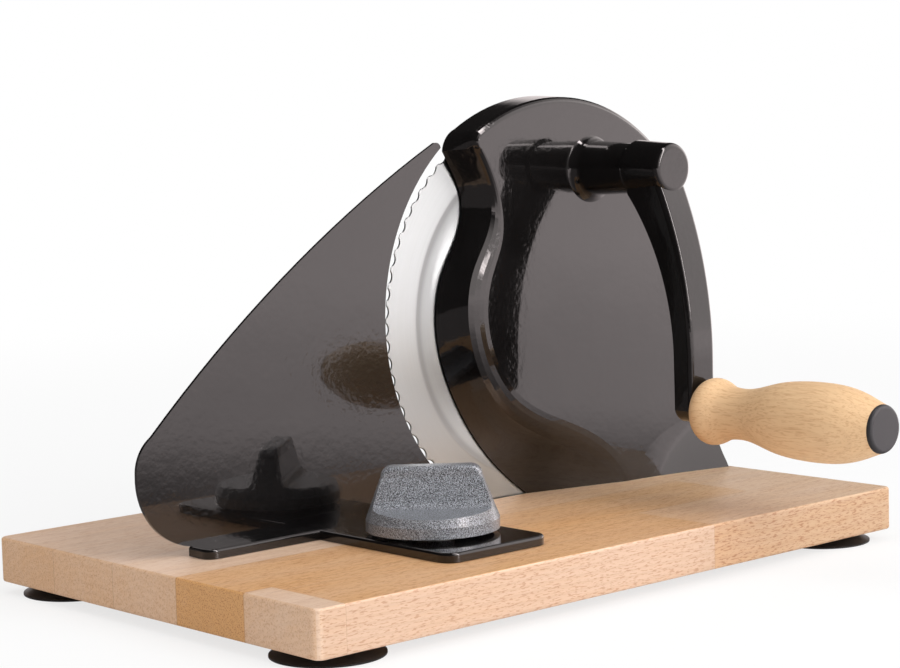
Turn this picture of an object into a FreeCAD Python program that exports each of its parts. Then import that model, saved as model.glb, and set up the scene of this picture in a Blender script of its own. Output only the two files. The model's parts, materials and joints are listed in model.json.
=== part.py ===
"""Hand cranked bread slicer on a beech board, as a parametric FreeCAD document.

Millimetres and degrees, +Z up. X runs along the board and -Y is the side of the crank. Places
are counted from under the middle of the board, on the surface that the feet stand on, and every
piece is then moved so that the origin lies under the middle of the whole part. Pieces on the
drive axes are drawn in a frame of their own: x to the right, y up, z out towards the crank.
"""
import FreeCAD, Part

import math
import os

import Sketcher

Vector = FreeCAD.Vector
Rotation = FreeCAD.Rotation
Placement = FreeCAD.Placement

# Driving sizes. Each is a cell of the sheet, and everything else is worked out from them.
SIZES = {
    # board and feet
    "board_length": 350.0,
    "board_width": 225.0,
    "board_thickness": 20.0,
    "board_corner": 4.0,
    "board_edge": 1.2,
    "foot_height": 5.0,
    "foot_radius": 23.2,
    "foot_inset": 24.2,
    "foot_lip": 1.2,
    "foot_neck": 13.0,
    "foot_cup": 2.6,
    "foot_stem": 5.0,
    "foot_stem_depth": 11.0,
    "foot_screw": 2.0,
    # blade
    "blade_from_middle": 64.0,
    "blade_above_board": 85.5,
    "blade_radius": 95.0,
    "blade_thickness": 1.5,
    "blade_behind": 10.5,
    "blade_edge_thickness": 0.4,
    "blade_bevel": 17.0,
    "scallops": 76,
    "scallop_radius": 4.0,
    "scallop_depth": 1.2,
    "scallop_slant": 40.0,
    "blade_screw_circle": 20.0,
    "blade_screw": 1.5,
    "blade_screw_head": 3.0,
    # gears
    "gear_module": 1.5,
    "gear_teeth": 71,
    "pinion_teeth": 24,
    "pressure_angle": 20.0,
    "tooth_backlash": 0.18,
    "gear_width": 5.0,
    "pinion_width": 5.6,
    "drive_angle": 73.4,
    "gear_flange": 26.0,
    "gear_hub": 15.0,
    "pinion_hub": 9.0,
    "spigot": 14.0,
    # axle and shaft
    "axle_radius": 5.0,
    "shaft_radius": 5.0,
    "bush_wall": 2.0,
    "bush_length": 14.0,
    "running_clearance": 0.05,
    "end_play": 0.3,
    "washer_thickness": 0.8,
    "screw_head_radius": 12.0,
    # housing
    "rim_behind": 9.5,
    "rim_radius": 103.0,
    "rim_taper": 0.8,
    "face_radius": 99.2,
    "face_at_board": 3.8,
    "face_lean": -1.0,
    "face_rounding": 2.4,
    "flare_out": 9.9,
    "flare_high": 33.0,
    "wall": 3.0,
    "rail_height": 11.0,
    "boss_radius": 12.8,
    "boss_end_radius": 11.6,
    "boss_end": 37.0,
    "boss_flare": 4.4,
    "housing_screw": 2.0,
    "housing_screw_in": 5.6,
    "housing_screw_depth": 9.0,
    # crank and grip
    "hub_back_radius": 13.0,
    "hub_radius": 11.7,
    "hub_end": 59.4,
    "hub_rounding": 2.7,
    "arm_drop": 110.4,
    "arm_straight": 23.4,
    "arm_front": 75.3,
    "arm_bow": 21.1,
    "arm_heel": 12.6,
    "arm_width_root": 18.2,
    "arm_width_end": 16.0,
    "arm_thickness": 11.3,
    "arm_end": 6.0,
    "arm_front_edge": 2.4,
    "arm_back_edge": 1.2,
    "grip_length": 98.7,
    "grip_radius": 17.6,
    "grip_bore": 4.3,
    "spindle_radius": 4.2,
    "cap_dome": 2.2,
    # stop plate
    "sheet_metal": 1.5,
    "plate_front": 6.8,
    "plate_arc_radius": 101.4,
    "tray_height": 4.0,
    "tray_clearance": 0.3,
    "tray_left": 146.0,
    "tray_right": 10.0,
    "tray_depth": 6.0,
    "plate_toe": 12.0,
    "tongue_middle": 58.0,
    "tongue_width": 58.0,
    "tongue_end": 89.0,
    "tongue_corner": 7.0,
    "slide_in": 3.0,
    "slide_out": 12.0,
    "key_start": 5.0,
    "key_length": 20.0,
    # knob
    "knob_from_middle": 47.0,
    "knob_radius": 28.7,
    "knob_top_radius": 21.8,
    "knob_height": 27.2,
    "knob_skirt": 9.0,
    "knob_shoulder": 4.6,
    "knob_bar": 9.4,
    "knob_turned": 42.0,
    "knob_boss": 9.0,
    "knob_washer": 1.6,
    "stud_radius": 3.0,
    "stud_clearance": 0.4,
    "insert_depth": 13.0,
}

doc = FreeCAD.newDocument("bread_slicer")
sheet = doc.addObject("Spreadsheet::Sheet", "sizes")
for row, (alias, number) in enumerate(SIZES.items(), start=1):
    sheet.set(f"A{row}", alias)
    sheet.set(f"B{row}", str(number))
    sheet.setAlias(f"B{row}", alias)
doc.recompute()


class Size:
    """A number together with the sheet expression that gives it."""

    def __init__(self, value, text):
        self.value = float(value)
        self.text = text

    def __add__(self, other):
        other = size(other)
        return Size(self.value + other.value, f"({self.text} + {other.text})")

    def __sub__(self, other):
        other = size(other)
        return Size(self.value - other.value, f"({self.text} - {other.text})")

    def __mul__(self, other):
        other = size(other)
        return Size(self.value * other.value, f"({self.text} * {other.text})")

    def __truediv__(self, other):
        other = size(other)
        return Size(self.value / other.value, f"({self.text} / {other.text})")

    def __radd__(self, other):
        return size(other) + self

    def __rsub__(self, other):
        return size(other) - self

    def __rmul__(self, other):
        return size(other) * self

    def __neg__(self):
        return Size(-self.value, f"(0 - {self.text})")

    def __float__(self):
        return self.value


def size(number):
    """Give a plain number the same form as a cell of the sheet."""
    return number if isinstance(number, Size) else Size(number, f"{float(number):.6f}")


def cell(alias):
    """Read one driving size back from the sheet."""
    return Size(float(sheet.get(alias)), f"sizes.{alias}")


def sine(angle):
    """Sine of an angle in degrees."""
    return Size(math.sin(math.radians(angle.value)), f"sin({angle.text})")


def cosine(angle):
    """Cosine of an angle in degrees."""
    return Size(math.cos(math.radians(angle.value)), f"cos({angle.text})")


def tangent(angle):
    """Tangent of an angle in degrees."""
    return Size(math.tan(math.radians(angle.value)), f"tan({angle.text})")


def root(number):
    """Square root."""
    return Size(math.sqrt(number.value), f"sqrt({number.text})")


S = {alias: cell(alias) for alias in SIZES}

# Places that several pieces share
board_top = S["foot_height"] + S["board_thickness"]
axle_height = board_top + S["blade_above_board"]
centre_distance = S["gear_module"] * (S["gear_teeth"] + S["pinion_teeth"]) / 2
crank_across = centre_distance * cosine(S["drive_angle"])
crank_above = centre_distance * sine(S["drive_angle"])
crank_x = S["blade_from_middle"] + crank_across
crank_height = axle_height + crank_above
grip_height = crank_height - S["arm_drop"]
face_slope = tangent(S["face_lean"])
face_at_axle = S["face_at_board"] - S["blade_above_board"] * face_slope
face_at_crank = face_at_axle - crank_above * face_slope
blade_front = -S["blade_behind"]
blade_back = blade_front - S["blade_thickness"]
bush_radius = S["axle_radius"] + S["bush_wall"]
shaft_bush_radius = S["shaft_radius"] + S["bush_wall"]
seat_floor = blade_front + S["end_play"]
gear_back = blade_front + 2.0
gear_front = gear_back + S["gear_width"]
hub_front = gear_front + 2.2
washer_back = hub_front + S["end_play"]
axle_boss_end = washer_back + S["washer_thickness"]
crank_hub_back = S["boss_end"] + S["washer_thickness"] + S["end_play"]
shaft_end = blade_front + 0.5
pinion_back = shaft_end + 1.2
pinion_front = pinion_back + S["pinion_width"]
pinion_hub_end = pinion_front + 3.0
bush_seat_end = pinion_hub_end + S["end_play"]
tray_bottom = board_top + S["tray_clearance"]
tray_top = tray_bottom + S["tray_height"]
knob_y = -S["knob_from_middle"]
knob_x = -S["tongue_middle"]
knob_washer_bottom = tray_top + S["end_play"]
knob_bottom = knob_washer_bottom + S["knob_washer"]
grip_start = S["arm_front"] + S["washer_thickness"] + 2 * S["end_play"]
grip_end = grip_start + S["grip_length"]
arm_back = S["arm_front"] - S["arm_thickness"]
arm_bend = S["arm_drop"] - S["arm_straight"]
to_middle = (grip_end + S["cap_dome"] - S["board_width"] / 2) / 2

TOWARDS_CRANK = Rotation(Vector(1, 0, 0), 90)
UPRIGHT = Rotation()
PIECES = []


# ------------------------------------------------------------------ building blocks
def bind(target, name, value):
    """Drive one property of an object from the sheet."""
    target.setExpression(name, size(value).text)


def put(piece, place, turn):
    """Give a piece its Placement, bound to the sheet and moved with the whole part."""
    x, y, z = place
    place = (x, y + to_middle, z)
    piece.Placement = Placement(Vector(*[float(size(v)) for v in place]), turn)
    for axis, value in zip("xyz", place):
        bind(piece, f"Placement.Base.{axis}", value)


def new_body(label, place=(0, 0, 0), turn=UPRIGHT):
    """Start a sub-part as a PartDesign body."""
    body = doc.addObject("PartDesign::Body", label)
    body.Label = label
    put(body, place, turn)
    PIECES.append(body)
    return body


def new_sketch(body, role="XY_Plane", raised=0):
    """Attach a sketch to one of the body's own origin planes, raised along its normal."""
    sketch = body.newObject("Sketcher::SketchObject", "sketch")
    plane = next(f for f in body.Origin.OriginFeatures if f.Role == role)
    sketch.AttachmentSupport = (plane, "")
    sketch.MapMode = "FlatFace"
    bind(sketch, "AttachmentOffset.Base.z", raised)
    return sketch


def fix_point(sketch, geometry, end, x, y):
    """Hold a point of a sketch at x, y from the origin, with both bound to the sheet."""
    for kind, axis, value in (("DistanceX", -2, size(x)), ("DistanceY", -1, size(y))):
        if abs(value.value) < 1e-9:
            sketch.addConstraint(Sketcher.Constraint("PointOnObject", geometry, end, axis))
            continue
        if value.value > 0:
            index = sketch.addConstraint(
                Sketcher.Constraint(kind, -1, 1, geometry, end, value.value))
            sketch.setExpression(f"Constraints[{index}]", value.text)
        else:
            index = sketch.addConstraint(
                Sketcher.Constraint(kind, geometry, end, -1, 1, -value.value))
            sketch.setExpression(f"Constraints[{index}]", (-value).text)


def flat(point):
    """A sketch point as a vector."""
    return Vector(float(size(point[0])), float(size(point[1])), 0)


def draw(sketch, start, steps):
    """Draw a closed outline of lines (end) and arcs (via, end) from a start point."""
    if (flat(steps[-1][-1]) - flat(start)).Length > 1e-6:
        steps = steps + [(start,)]
    first = None
    previous = None
    here = start
    for step in steps:
        end = step[-1]
        via = step[0] if len(step) == 2 else None
        a, b = flat(here), flat(end)
        if via is None:
            index = sketch.addGeometry(Part.LineSegment(a, b), False)
            head, tail = 1, 2
        else:
            m = flat(via)
            anticlockwise = (m - a).cross(b - m).z > 0
            arc = Part.Arc(a, m, b) if anticlockwise else Part.Arc(b, m, a)
            index = sketch.addGeometry(arc, False)
            head, tail = (1, 2) if anticlockwise else (2, 1)
            mark = sketch.addGeometry(Part.Point(m), True)
            fix_point(sketch, mark, 1, *via)
            sketch.addConstraint(Sketcher.Constraint("PointOnObject", mark, 1, index))
        fix_point(sketch, index, head, *here)
        if previous is not None:
            sketch.addConstraint(Sketcher.Constraint("Coincident", *previous, index, head))
        else:
            first = (index, head)
        previous = (index, tail)
        here = end
    sketch.addConstraint(Sketcher.Constraint("Coincident", *previous, *first))
    return sketch


def polygon(sketch, points):
    """Draw a closed outline of straight lines."""
    return draw(sketch, points[0], [(p,) for p in points[1:] + points[:1]])


def rectangle(sketch, left, bottom, right, top):
    """Draw a rectangle from its two corners."""
    return polygon(sketch, [(left, bottom), (right, bottom), (right, top), (left, top)])


def circle(sketch, x, y, radius):
    """Draw a circle."""
    radius = size(radius)
    index = sketch.addGeometry(Part.Circle(flat((x, y)), Vector(0, 0, 1), radius.value), False)
    fix_point(sketch, index, 3, x, y)
    held = sketch.addConstraint(Sketcher.Constraint("Radius", index, radius.value))
    sketch.setExpression(f"Constraints[{held}]", radius.text)
    return sketch


def slot(sketch, x, bottom, top, radius):
    """Draw a slot that runs along y between two centres."""
    left, right = x - radius, x + radius
    return draw(sketch, (right, bottom), [
        ((right, top),),
        ((x, top + radius), (left, top)),
        ((left, bottom),),
        ((x, bottom - radius), (right, bottom)),
    ])


def pad(body, sketch, length, reverse=False):
    """Pad a sketch."""
    feature = body.newObject("PartDesign::Pad", "pad")
    feature.Profile = sketch
    feature.Reversed = reverse
    bind(feature, "Length", length)
    return feature


def pocket(body, sketch, length=None, reverse=False):
    """Cut a sketch out of the body, to a depth or right through both ways."""
    doc.recompute()
    before = body.Shape.Volume
    feature = body.newObject("PartDesign::Pocket", "pocket")
    feature.Profile = sketch
    feature.Reversed = reverse
    if length is None:
        feature.Type = 1
        feature.Midplane = True
    else:
        bind(feature, "Length", length)
    doc.recompute()
    if not feature.Shape.Volume < before - 1e-6:
        raise RuntimeError(f"a pocket of {body.Label} cuts nothing")
    return feature


def revolve(body, sketch):
    """Turn a sketch a full circle about its vertical axis."""
    feature = body.newObject("PartDesign::Revolution", "turned")
    feature.Profile = sketch
    feature.ReferenceAxis = (sketch, ["V_Axis"])
    feature.Angle = 360
    return feature


def around(body, feature, count):
    """Repeat a feature round the body's Z axis."""
    axis = next(f for f in body.Origin.OriginFeatures if f.Role == "Z_Axis")
    pattern = body.newObject("PartDesign::PolarPattern", "round")
    pattern.Originals = [feature]
    pattern.Axis = (axis, [""])
    pattern.Angle = 360
    bind(pattern, "Occurrences", count)
    body.Tip = pattern
    return pattern


def edges_of(body, test):
    """Name the edges of the body's present shape that pass a test."""
    doc.recompute()
    return [f"Edge{n}" for n, edge in enumerate(body.Tip.Shape.Edges, start=1) if test(edge)]


def round_edges(body, radius, test):
    """Fillet the edges that pass a test."""
    names = edges_of(body, test)
    base = body.Tip
    feature = body.newObject("PartDesign::Fillet", "rounding")
    feature.Base = (base, names)
    bind(feature, "Radius", radius)
    return feature


def turned(label, profile, place, turn=UPRIGHT):
    """A turned piece: a closed profile of (radius, height) about its own Z axis."""
    body = new_body(label, place, turn)
    revolve(body, polygon(new_sketch(body, "XZ_Plane"), profile))
    return body


def ring(label, inner, outer, low, high, place, turn=UPRIGHT):
    """A plain ring, bush or washer."""
    profile = [(inner, low), (outer, low), (outer, high), (inner, high)]
    return turned(label, profile, place, turn)


def placed_copies(label, shape, places, turn=UPRIGHT):
    """Identical loose pieces, such as screws, as separate solids of one node."""
    feature = doc.addObject("Part::Feature", label)
    feature.Label = label
    copies = []
    for place in places:
        copy = shape.copy()
        copy.Placement = Placement(Vector(*[float(size(v)) for v in place]), turn)
        copies.append(copy)
    feature.Shape = Part.makeCompound(copies)
    put(feature, (0, 0, 0), UPRIGHT)
    PIECES.append(feature)
    return feature


def spun(profile):
    """A plain solid of revolution about Z from (radius, height) points."""
    points = [Vector(float(size(r)), 0, float(size(z))) for r, z in profile]
    face = Part.Face(Part.makePolygon(points + points[:1]))
    return face.revolve(Vector(0, 0, 0), Vector(0, 0, 1), 360)


AXLE = (S["blade_from_middle"], 0, axle_height)
CRANK = (crank_x, 0, crank_height)
GRIP = (crank_x, 0, grip_height)
FOOT_X = S["board_length"] / 2 - S["foot_inset"]
FOOT_Y = S["board_width"] / 2 - S["foot_inset"]
FEET = {
    "foot_front_left": (-FOOT_X, -FOOT_Y),
    "foot_front_right": (FOOT_X, -FOOT_Y),
    "foot_rear_left": (-FOOT_X, FOOT_Y),
    "foot_rear_right": (FOOT_X, FOOT_Y),
}
HOUSING_SCREW_SPOTS = [S["rim_radius"] * share for share in (0.33, 0.64, 0.95)]


# ------------------------------------------------------------------ board and feet
COUNTERBORE = S["housing_screw"] * 2.6
COUNTERBORE_DEPTH = size(6.0)
INSERT_RADIUS = S["stud_radius"] + 2.5
KEY_HALF_WIDTH = size(6.0)
KEY_DEPTH = size(4.0)
KEY_BACK = -S["key_start"]
KEY_FRONT = KEY_BACK - S["key_length"]
KEY_GAP = size(1.0)


def base_board():
    """The beech board with its blade slot, holes from below and guide groove."""
    body = new_body("base_board", (0, 0, S["foot_height"]))
    half_x, half_y = S["board_length"] / 2, S["board_width"] / 2
    pad(body, rectangle(new_sketch(body), -half_x, -half_y, half_x, half_y), S["board_thickness"])

    def upright(edge):
        return abs(edge.Vertexes[0].Z - edge.Vertexes[-1].Z) > 1

    def level(edge):
        return abs(edge.Vertexes[0].Z - edge.Vertexes[-1].Z) < 1e-6

    round_edges(body, S["board_corner"], upright)
    round_edges(body, S["board_edge"], level)
    dip = S["blade_radius"] - S["blade_above_board"]
    half_slot = root(S["blade_radius"] * S["blade_radius"]
                     - S["blade_above_board"] * S["blade_above_board"]) + 3.0
    middle = S["blade_from_middle"]
    blade_slot = rectangle(
        new_sketch(body, raised=S["board_thickness"]),
        middle - half_slot, S["blade_behind"] - 0.7,
        middle + half_slot, S["blade_behind"] + S["blade_thickness"] + 1.8)
    pocket(body, blade_slot, dip + 2.5)
    top = new_sketch(body, raised=S["board_thickness"])
    circle(top, knob_x, knob_y, INSERT_RADIUS)
    pocket(body, top, S["insert_depth"])
    groove = rectangle(
        new_sketch(body, raised=S["board_thickness"]),
        knob_x - KEY_HALF_WIDTH - 0.3, KEY_FRONT - S["slide_out"] - KEY_GAP,
        knob_x + KEY_HALF_WIDTH + 0.3, KEY_BACK + S["slide_in"] + KEY_GAP)
    pocket(body, groove, KEY_DEPTH + 0.6)
    stems = new_sketch(body)
    for x, y in FEET.values():
        circle(stems, x, y, S["foot_stem"])
    pocket(body, stems, S["foot_stem_depth"], reverse=True)
    bores = new_sketch(body)
    sinks = new_sketch(body)
    for across in HOUSING_SCREW_SPOTS:
        x, y = middle + across, S["housing_screw_in"]
        circle(bores, x, y, S["housing_screw"] + 0.2)
        circle(sinks, x, y, COUNTERBORE)
    pocket(body, bores, None)
    pocket(body, sinks, COUNTERBORE_DEPTH, reverse=True)


def foot(label, x, y):
    """A suction foot: a cup with a thin lip and a stem pressed into the board."""
    neck = S["foot_neck"]
    stem_top = S["foot_height"] + S["foot_stem_depth"] - 0.5
    lip = S["foot_lip"]
    turned(label, [
        (0, S["foot_cup"]), (neck * 0.7, S["foot_cup"]), (S["foot_radius"] - 2.4, 0),
        (S["foot_radius"], 0), (S["foot_radius"], lip * 0.6), (S["foot_radius"] - 1.5, lip),
        (neck, S["foot_height"]), (S["foot_stem"], S["foot_height"]), (S["foot_stem"], stem_top),
        (0, stem_top),
    ], (x, y, 0))


def base():
    """Everything that stays with the board."""
    base_board()
    for label, (x, y) in FEET.items():
        foot(label, x, y)
    thread = S["stud_radius"] + S["running_clearance"]
    insert_bottom = board_top - S["insert_depth"]
    turned("threaded_insert", [
        (thread, insert_bottom), (INSERT_RADIUS, insert_bottom), (INSERT_RADIUS, board_top - 0.4),
        (thread, board_top - 0.4),
    ], (knob_x, knob_y, 0))
    screw = S["housing_screw"]
    sink_top = S["foot_height"] + COUNTERBORE_DEPTH
    spots = [(S["blade_from_middle"] + x, S["housing_screw_in"], 0) for x in HOUSING_SCREW_SPOTS]
    washer_low = sink_top - screw * 0.5
    washer_inner, washer_outer = screw * 1.1, COUNTERBORE - 0.2
    placed_copies("housing_washers", spun([
        (washer_inner, washer_low), (washer_outer, washer_low), (washer_outer, sink_top),
        (washer_inner, sink_top),
    ]), spots)
    head_low = washer_low - screw * 1.7
    head = screw * 1.95
    socket = screw * 0.5
    tip = board_top + S["housing_screw_depth"] - 1.0
    placed_copies("housing_screws", spun([
        (0, head_low + screw), (socket, head_low + screw), (socket, head_low), (head, head_low),
        (head, washer_low), (screw, washer_low), (screw, tip), (0, tip),
    ]), spots)


# ------------------------------------------------------------------ housing
# The edge beside the blade, from the board up to the pointed corner near the top: across from the
# axle as a share of the rim's radius, and up from the board as a share of the housing's height.
# First the rim, then where the flank ends and where the face begins, with a rounding between.
RIM_EDGE = [(-0.103, -0.003), (-0.340, 0.103), (-0.549, 0.263), (-0.646, 0.438), (-0.597, 0.581),
            (-0.495, 0.682), (-0.481, 0.761), (-0.530, 0.822), (-0.585, 0.872)]
FLANK_EDGE = [(0.350, -0.003), (0.019, 0.119), (-0.369, 0.236), (-0.552, 0.423), (-0.528, 0.582),
              (-0.428, 0.685), (-0.414, 0.751), (-0.449, 0.812), (-0.515, 0.878)]
FACE_EDGE = [(0.466, -0.003), (0.117, 0.161), (-0.291, 0.273), (-0.459, 0.443), (-0.437, 0.562),
             (-0.369, 0.655), (-0.366, 0.719), (-0.398, 0.790), (-0.481, 0.873)]
RIM_CORNER = 1.073
FLANK_CORNER = 1.066
FACE_CORNER = 1.056
CORNER_ANGLE = 120.5
SIDE_ANGLE = -3.0
# The rounding: how far behind the face, and how far across from flank to face
ROUNDING = [(1.0, 0.0), (0.56, 0.25), (0.25, 0.5), (0.06, 0.75), (0.0, 1.0)]
# The foot's flare at the right: where it starts and ends, and the stations between
FLARE_START = 0.46
FLARE_END = 1.05
FLARE_STATIONS = [0.02, 0.28, 0.52, 0.76, 1.0]
FLARE_BURIED = 0.06
FLARE_INSET = 0.3


def on_arc(radius, angle):
    """A point on a circle about the axle."""
    turn = math.radians(angle)
    return Vector(radius * math.cos(turn), radius * math.sin(turn), 0)


def inset(points, distance):
    """Move a row of points sideways, to the right of the way they run."""
    moved = []
    for n, point in enumerate(points):
        ahead = points[min(n + 1, len(points) - 1)]
        behind = points[max(n - 1, 0)]
        run = (ahead - behind).normalize()
        moved.append(point + Vector(run.y, -run.x, 0) * distance)
    return moved


def blend(first, second, share):
    """Points part of the way from one row to another."""
    return [a * (1 - share) + b * share for a, b in zip(first, second)]


def housing_outline(radius, edge, corner, under):
    """Closed outline: arc over the top, right side, underside, blade edge, pointed corner.

    With no corner the right side runs straight to the underside.
    """
    start = on_arc(radius, CORNER_ANGLE)
    side = on_arc(radius, SIDE_ANGLE)
    curve = Part.BSplineCurve()
    curve.interpolate(edge)
    last = edge[-1]
    outward = Vector(-(start - last).y, (start - last).x, 0).normalize()
    corners = [side, corner, under, edge[0]] if corner else [side, under, edge[0]]
    return [
        Part.Arc(start, on_arc(radius, 55.0), side),
        *[Part.LineSegment(a, b) for a, b in zip(corners, corners[1:])],
        curve,
        Part.Arc(last, (start + last) * 0.5 + outward * 1.8, start),
    ]


def section(body, geometry, height, lean=None):
    """One cross-section of the housing, on a plane that may lean back."""
    sketch = new_sketch(body, raised=height)
    if lean is not None:
        sketch.AttachmentOffset = Placement(
            Vector(0, 0, float(size(height))), Rotation(Vector(-1, 0, 0), lean.value))
        bind(sketch, "AttachmentOffset.Base.z", height)
    sketch.addGeometry(geometry, False)
    return sketch


def loft(body, kind, sections, ruled=True):
    """A loft through cross-sections, straight or smooth between them, that must change the body."""
    doc.recompute()
    before = 0.0 if body.Shape.isNull() else body.Shape.Volume
    feature = body.newObject(f"PartDesign::{kind}", "loft")
    feature.Profile = sections[0]
    feature.Sections = sections[1:]
    feature.Ruled = ruled
    doc.recompute()
    if abs(feature.Shape.Volume - before) < 100.0:
        raise RuntimeError(f"a loft of {body.Label} changes nothing")
    return feature


def flare(body, board, side, corner):
    """The hollow-cheeked foot that spreads out at the lower right, cut off along the right side."""
    sections = []
    for station in FLARE_STATIONS:
        across = FLARE_START + (FLARE_END - FLARE_START) * station
        sketch = new_sketch(body, "YZ_Plane", raised=S["rim_radius"] * across)
        out, up = S["flare_out"] * station ** 1.6, S["flare_high"] * station ** 0.3
        face = S["face_at_board"] - FLARE_BURIED
        sunk = S["face_at_board"] - S["face_rounding"]
        midway = (board + up * 0.41, face - up * 0.41 * face_slope + out * 0.35)
        draw(sketch, (board - 0.5, sunk), [
            ((board - 0.5, face + out),),
            (midway, (board + up, face - up * face_slope)),
            ((board + up, sunk),),
        ])
        sections.append(sketch)
    loft(body, "AdditiveLoft", sections, ruled=False)
    slope = (corner.x - side.x) / (side.y - corner.y)
    low, high = board - 1.0, board + S["flare_high"] * 1.2
    reach = S["rim_radius"] * FLARE_END + 5.0
    beyond = polygon(new_sketch(body), [
        (size(corner.x) + slope - FLARE_INSET, low),
        (reach, low),
        (reach, high),
        (size(corner.x) - (high - board) * slope - FLARE_INSET, high),
    ])
    pocket(body, beyond, None)


def housing():
    """The enamelled shell: rim by the blade, leaning face, crank boss and axle boss."""
    body = new_body("housing", AXLE, TOWARDS_CRANK)
    rim_radius, wall = S["rim_radius"].value, S["wall"]
    flank_radius, face_radius = rim_radius - S["rim_taper"].value, S["face_radius"].value
    rim_height, lean = -S["rim_behind"], S["face_lean"]
    board = -S["blade_above_board"]
    rail = board + S["rail_height"]
    tall = rim_radius - board.value
    rim, flank, face = [
        [Vector(x * rim_radius, board.value + y * tall, 0) for x, y in edge]
        for edge in (RIM_EDGE, FLANK_EDGE, FACE_EDGE)]
    rim_corner, flank_corner, face_corner = [
        Vector(x * rim_radius, board.value, 0) for x in (RIM_CORNER, FLANK_CORNER, FACE_CORNER)]
    down = Vector(0, -S["rail_height"].value * 3, 0)

    def rounded(behind, across):
        """A section of the rounding between the flank and the face."""
        radius = flank_radius + (face_radius - flank_radius) * across
        corner = flank_corner * (1 - across) + face_corner * across
        outline = housing_outline(radius, blend(flank, face, across), corner, corner + down)
        return section(body, outline, face_at_axle - S["face_rounding"] * behind, lean)

    def hollow(radius, edge, thickness, height, leaning):
        """A section of the space inside, a wall's thickness in and down to the rail."""
        edge = inset(edge, thickness)
        part_way = (rail.value - edge[0].y) / (edge[1].y - edge[0].y)
        edge[0] = edge[0] * (1 - part_way) + edge[1] * part_way
        corner = Vector(face_corner.x - thickness, rail.value, 0)
        return section(body, housing_outline(radius - thickness, edge, None, corner), height, leaning)

    flare(body, board, on_arc(face_radius, SIDE_ANGLE), face_corner)
    whole = housing_outline(rim_radius, rim, rim_corner, rim_corner + down)
    loft(body, "AdditiveLoft", [section(body, whole, rim_height)]
         + [rounded(behind, across) for behind, across in ROUNDING])
    below = rectangle(new_sketch(body), -S["rim_radius"] * 1.2, board * 2, S["rim_radius"] * 1.2, board)
    pocket(body, below, None)
    loft(body, "SubtractiveLoft", [
        hollow(rim_radius, rim, wall.value, rim_height, None),
        hollow(flank_radius, flank, wall.value * 1.2, face_at_axle - wall, lean),
    ])
    inner = circle(new_sketch(body, raised=bush_seat_end), crank_across, crank_above, S["boss_radius"])
    pad(body, inner, face_at_crank - wall / 2 - bush_seat_end)
    inner = circle(new_sketch(body, raised=axle_boss_end), 0, 0, S["spigot"])
    pad(body, inner, face_at_axle - wall / 2 - axle_boss_end)
    boss = new_sketch(body, "XZ_Plane")
    boss.AttachmentOffset = Placement(
        Vector(crank_across.value, 0, -crank_above.value), Rotation())
    bind(boss, "AttachmentOffset.Base.x", crank_across)
    bind(boss, "AttachmentOffset.Base.z", -crank_above)
    sunk = face_at_crank - wall * 0.8
    spread, radius, end = S["boss_flare"], S["boss_radius"], S["boss_end"]
    end_radius = S["boss_end_radius"]
    draw(boss, (0, sunk), [
        ((radius + spread, sunk),),
        ((radius + spread, face_at_crank - 0.6),),
        ((radius + spread * 0.3, face_at_crank + spread * 0.3), (radius, face_at_crank + spread)),
        ((end_radius, end - 1.0),),
        ((end_radius - 1.0, end),),
        ((0, end),),
    ])
    revolve(body, boss)
    bore = circle(new_sketch(body, raised=end), crank_across, crank_above, shaft_bush_radius)
    pocket(body, bore, end - bush_seat_end + 1.0)
    thread = circle(new_sketch(body, raised=axle_boss_end), 0, 0, S["axle_radius"] - 1.0)
    pocket(body, thread, axle_thread, reverse=True)
    holes = new_sketch(body, "XZ_Plane", raised=-board)
    for across in HOUSING_SCREW_SPOTS:
        circle(holes, across, -S["housing_screw_in"], S["housing_screw"])
    pocket(body, holes, S["housing_screw_depth"])


# ------------------------------------------------------------------ gears
def involute_outline(teeth, module, angle, backlash, first_tooth):
    """The outline of a spur gear, with its first tooth at a given angle."""
    pitch = module * teeth / 2
    base_circle = pitch * math.cos(math.radians(angle))
    tip, foot_circle = pitch + module, pitch - 1.25 * module
    lowest = max(base_circle, foot_circle)

    def spread(radius):
        press = math.acos(min(1.0, base_circle / radius))
        return math.tan(press) - press

    half = math.pi / teeth / 2 - backlash / pitch / 2 + spread(pitch)
    steps = 5
    radii = [lowest + (tip - lowest) * n / steps for n in range(steps + 1)]
    edges = []
    pitch_angle = 2 * math.pi / teeth
    for tooth in range(teeth):
        middle = math.radians(first_tooth) + tooth * pitch_angle

        def at(radius, turn):
            return Vector(radius * math.cos(middle + turn), radius * math.sin(middle + turn), 0)

        rising = [at(r, spread(r) - half) for r in radii]
        falling = [at(r, half - spread(r)) for r in reversed(radii)]
        for flank in (rising, falling):
            curve = Part.BSplineCurve()
            curve.interpolate(flank)
            edges.append(curve.toShape())
        edges.insert(-1, Part.Arc(rising[-1], at(tip, 0), falling[0]).toShape())
        root_start, root_end = falling[-1], at(lowest, pitch_angle - half + spread(lowest))
        if foot_circle < lowest:
            low_start = at(foot_circle, half - spread(lowest))
            low_end = at(foot_circle, pitch_angle - half + spread(lowest))
            edges.append(Part.LineSegment(root_start, low_start).toShape())
            edges.append(Part.Arc(low_start, at(foot_circle, pitch_angle / 2), low_end).toShape())
            edges.append(Part.LineSegment(low_end, root_end).toShape())
        else:
            edges.append(Part.Arc(root_start, at(lowest, pitch_angle / 2), root_end).toShape())
    return Part.Face(Part.Wire(edges))


def cylinder(radius, low, high, across=(0, 0)):
    """A plain cylinder about Z between two heights."""
    radius, low, high = (float(size(v)) for v in (radius, low, high))
    return Part.makeCylinder(radius, high - low, Vector(*across, low))


def rod(radius, length, height):
    """A cylinder along X, centred, at a height."""
    radius, length, height = (float(size(v)) for v in (radius, length, height))
    return Part.makeCylinder(radius, length, Vector(-length / 2, 0, height), Vector(1, 0, 0))


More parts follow.
